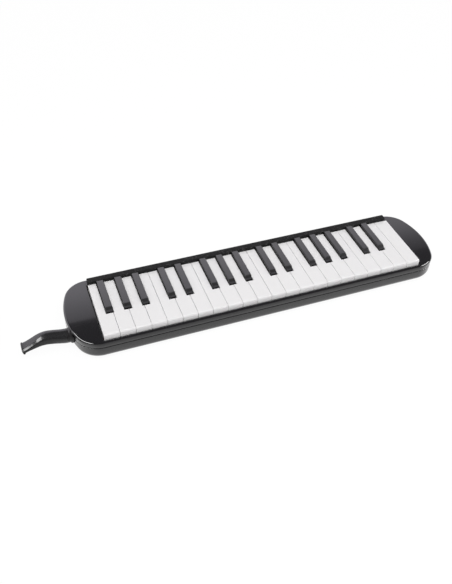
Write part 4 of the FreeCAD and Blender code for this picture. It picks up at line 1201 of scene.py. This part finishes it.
@dataclass
class Studio:
    """Pale floor, soft light and the camera. Places are millimetres; the shaders' distances are metres.

    Attributes:
        roll: turn about the line of sight, in degrees.
        floor_grey: darkest and lightest grey of the floor.
        floor_light: strength of the floor's own light, which makes it white in view.
        seen: how far that light stands for the floor in view, and in gloss.
        painted_glow_grey: its grey in gloss away from the case, and the paler grey of a painted pool of light beside
            it.
        painted_glow_reach: distance from the case where that painted light starts, and where it is full.
        case_half: half length and half depth of the case.
        fill: the world's strength to diffuse rays.
        ceiling: its strength in gloss outside the wall.
        wall_slope: how fast the wall's upper edge rises to the back and to the treble end.
        wall_edge: strength along that edge at the bass and at the treble end.
        wall_gain: how much stronger the wall is deeper down, at the bass and at the treble end.
        wall_depth: how far below the edge that gain is full.
        wall_lean: X of the direction where the bass end's values stop, and where the treble end's start.
        wall_fade: Y of the direction where the wall starts, and where it is full.
    """

    camera_place: Triple = (-239.1, -513.6, 534.7)
    target: Triple = (-44.58, -24.26, 29.5)
    roll: float = 2.25
    lens: float = 42.53
    floor_reach: float = 4000.0
    floor_grey: Pair = (0.62, 0.66)
    floor_light: float = 1.05
    seen: Pair = (0.9, 0.7)
    painted_glow_grey: Pair = (0.36, 0.80)
    painted_glow_reach: Pair = (0.022, 0.004)
    case_half: Pair = (0.2117, 0.048)
    fill: float = 0.52
    ceiling: float = 0.12
    wall_slope: Pair = (1.016, 0.026)
    wall_edge: Pair = (0.56, 0.16)
    wall_gain: Pair = (0.50, 0.55)
    wall_depth: float = 0.0726
    wall_lean: Pair = (0.07, 0.52)
    wall_fade: Pair = (-0.15, 0.25)
    lamps: tuple[Lamp, ...] = (
        Lamp("overhead_wash", (0.04, -0.40, 0.91), (1.6, 1.6), 17.6, LampKind.WASH),
        Lamp("left_softbox", (-0.71, -0.05, 0.69), (1.7, 0.5), 24.0),
        Lamp("right_softbox", (0.78, -0.30, 0.52), (1.0, 0.3), 14.0),
    )

    def camera(self) -> None:
        """Camera that looks at the target, rolled about its line of sight."""
        data = bpy.data.cameras.new("camera")
        data.lens = self.lens
        data.sensor_width = 36.0
        data.clip_start = 0.01
        place, target = Vector(self.camera_place), Vector(self.target)
        forward = (target - place).normalized()
        side = forward.cross(Vector((0, 0, 1))).normalized()
        up = side.cross(forward)
        turn = math.radians(self.roll)
        right = side * math.cos(turn) + up * math.sin(turn)
        top = up * math.cos(turn) - side * math.sin(turn)
        axes = Matrix((right, top, -forward)).transposed()
        camera = bpy.data.objects.new("camera", data)
        camera.matrix_world = Matrix.Translation(place * MM) @ axes.to_4x4()
        bpy.context.scene.collection.objects.link(camera)
        bpy.context.scene.camera = camera

    def floor(self) -> None:
        """Wide pale floor: white where it is seen, with part of the object's shadow kept.

        In gloss it is a grey with a painted pool of light beside the case, seen only in reflections. The distance
        from the case is measured in plan, as the larger of the distances past its half length and past its half
        depth.
        """
        material, graph = blank_material("pale_floor")
        camera_ray, glossy_ray, clear_ray = graph.ray_kinds()
        in_view, in_gloss = self.seen
        seen = (camera_ray * in_view + glossy_ray * in_gloss + clear_ray).maths("MINIMUM", 1.0)
        low, high = (grey(level) for level in self.floor_grey)
        colour = graph.blend(graph.noise(graph.place(), 3.0, 2.0), low, high)
        plain = graph.raw("ShaderNodeBsdfDiffuse", {"Color": colour})
        x, y, _ = graph.axes(graph.place())
        half_length, half_depth = self.case_half
        gap = (x.maths("ABSOLUTE") - half_length).maths("MAXIMUM", y.maths("ABSOLUTE") - half_depth)
        # painted light: a paler pool in gloss beside the case, which no lamp gives
        far, beside = (grey(level) for level in self.painted_glow_grey)
        backdrop = graph.blend(glossy_ray, grey(1.0), graph.blend(gap.ramp(*self.painted_glow_reach), far, beside))
        white = graph.raw("ShaderNodeEmission", {"Color": backdrop, "Strength": self.floor_light})
        mixed = graph.raw("ShaderNodeMixShader", {0: seen, 1: plain.outputs[0], 2: white.outputs[0]})
        graph.raw("ShaderNodeOutputMaterial", {"Surface": mixed.outputs[0]})
        ends, sunk = (-self.floor_reach, self.floor_reach), -0.05
        skin = Skin("studio_floor")
        skin.grid(np.array([[(across, along, sunk) for across in ends] for along in ends]), wrap=False)
        floor = skin.build([material])
        if floor.data.polygons[0].normal.z < 0.0:
            floor.data.flip_normals()

    def sky(self) -> None:
        """World: white to the camera, an even grey to diffuse rays, and a wall under a dark ceiling to gloss.

        The wall's upper edge is where z = slope to the back * y + slope to the treble end * x, for the
        reflected direction (x, y, z). The wall gets brighter below it, is darker towards the treble end and
        fades out towards the front.
        """
        world = bpy.data.worlds.new("studio")
        bpy.context.scene.world = world
        world.use_nodes = True
        graph = Graph(world.node_tree)
        x, y, z = graph.axes(graph.add("ShaderNodeTexCoord", {}, "Generated"))
        rise_back, rise_treble = self.wall_slope
        edge = z - y * rise_back - x * rise_treble
        depth, lean = edge.ramp(0.0, -self.wall_depth), x.ramp(*self.wall_lean)
        wall = lean.between(*self.wall_edge) + lean.between(*self.wall_gain) * depth
        mirror = edge.ramp(0.0008, -0.0008) * y.ramp(*self.wall_fade) * wall + self.ceiling
        camera_ray, glossy_ray, clear_ray = graph.ray_kinds()
        level = (mirror - self.fill) * glossy_ray + self.fill
        seen = (camera_ray + clear_ray).maths("MINIMUM", 1.0)
        tone = graph.blend(glossy_ray, grey(1.0), (1.0, 0.97, 1.05, 1))
        values = {"Color": tone, "Strength": level + (1.0 - level) * seen}
        background = graph.raw("ShaderNodeBackground", values)
        graph.raw("ShaderNodeOutputWorld", {"Surface": background.outputs[0]})

    def build(self) -> None:
        """Set the whole stage."""
        bpy.context.scene.view_settings.view_transform = "Standard"
        self.camera()
        self.floor()
        self.sky()
        for lamp in self.lamps:
            lamp.build()


# ---------------------------------------------------------------- main


def main() -> None:
    """Build the melodica's pieces in order, then the stage."""
    logging.basicConfig(level=logging.INFO, format="%(message)s")
    case = Case()
    case.base()
    case.cover()
    case.screws()
    Strip().build()
    Keyboard().build()
    fittings = Fittings(case)
    fittings.mouthpiece()
    fittings.socket()
    fittings.drain_button()
    InnerParts().dress()
    Studio().build()


if __name__ == "__main__":
    main()
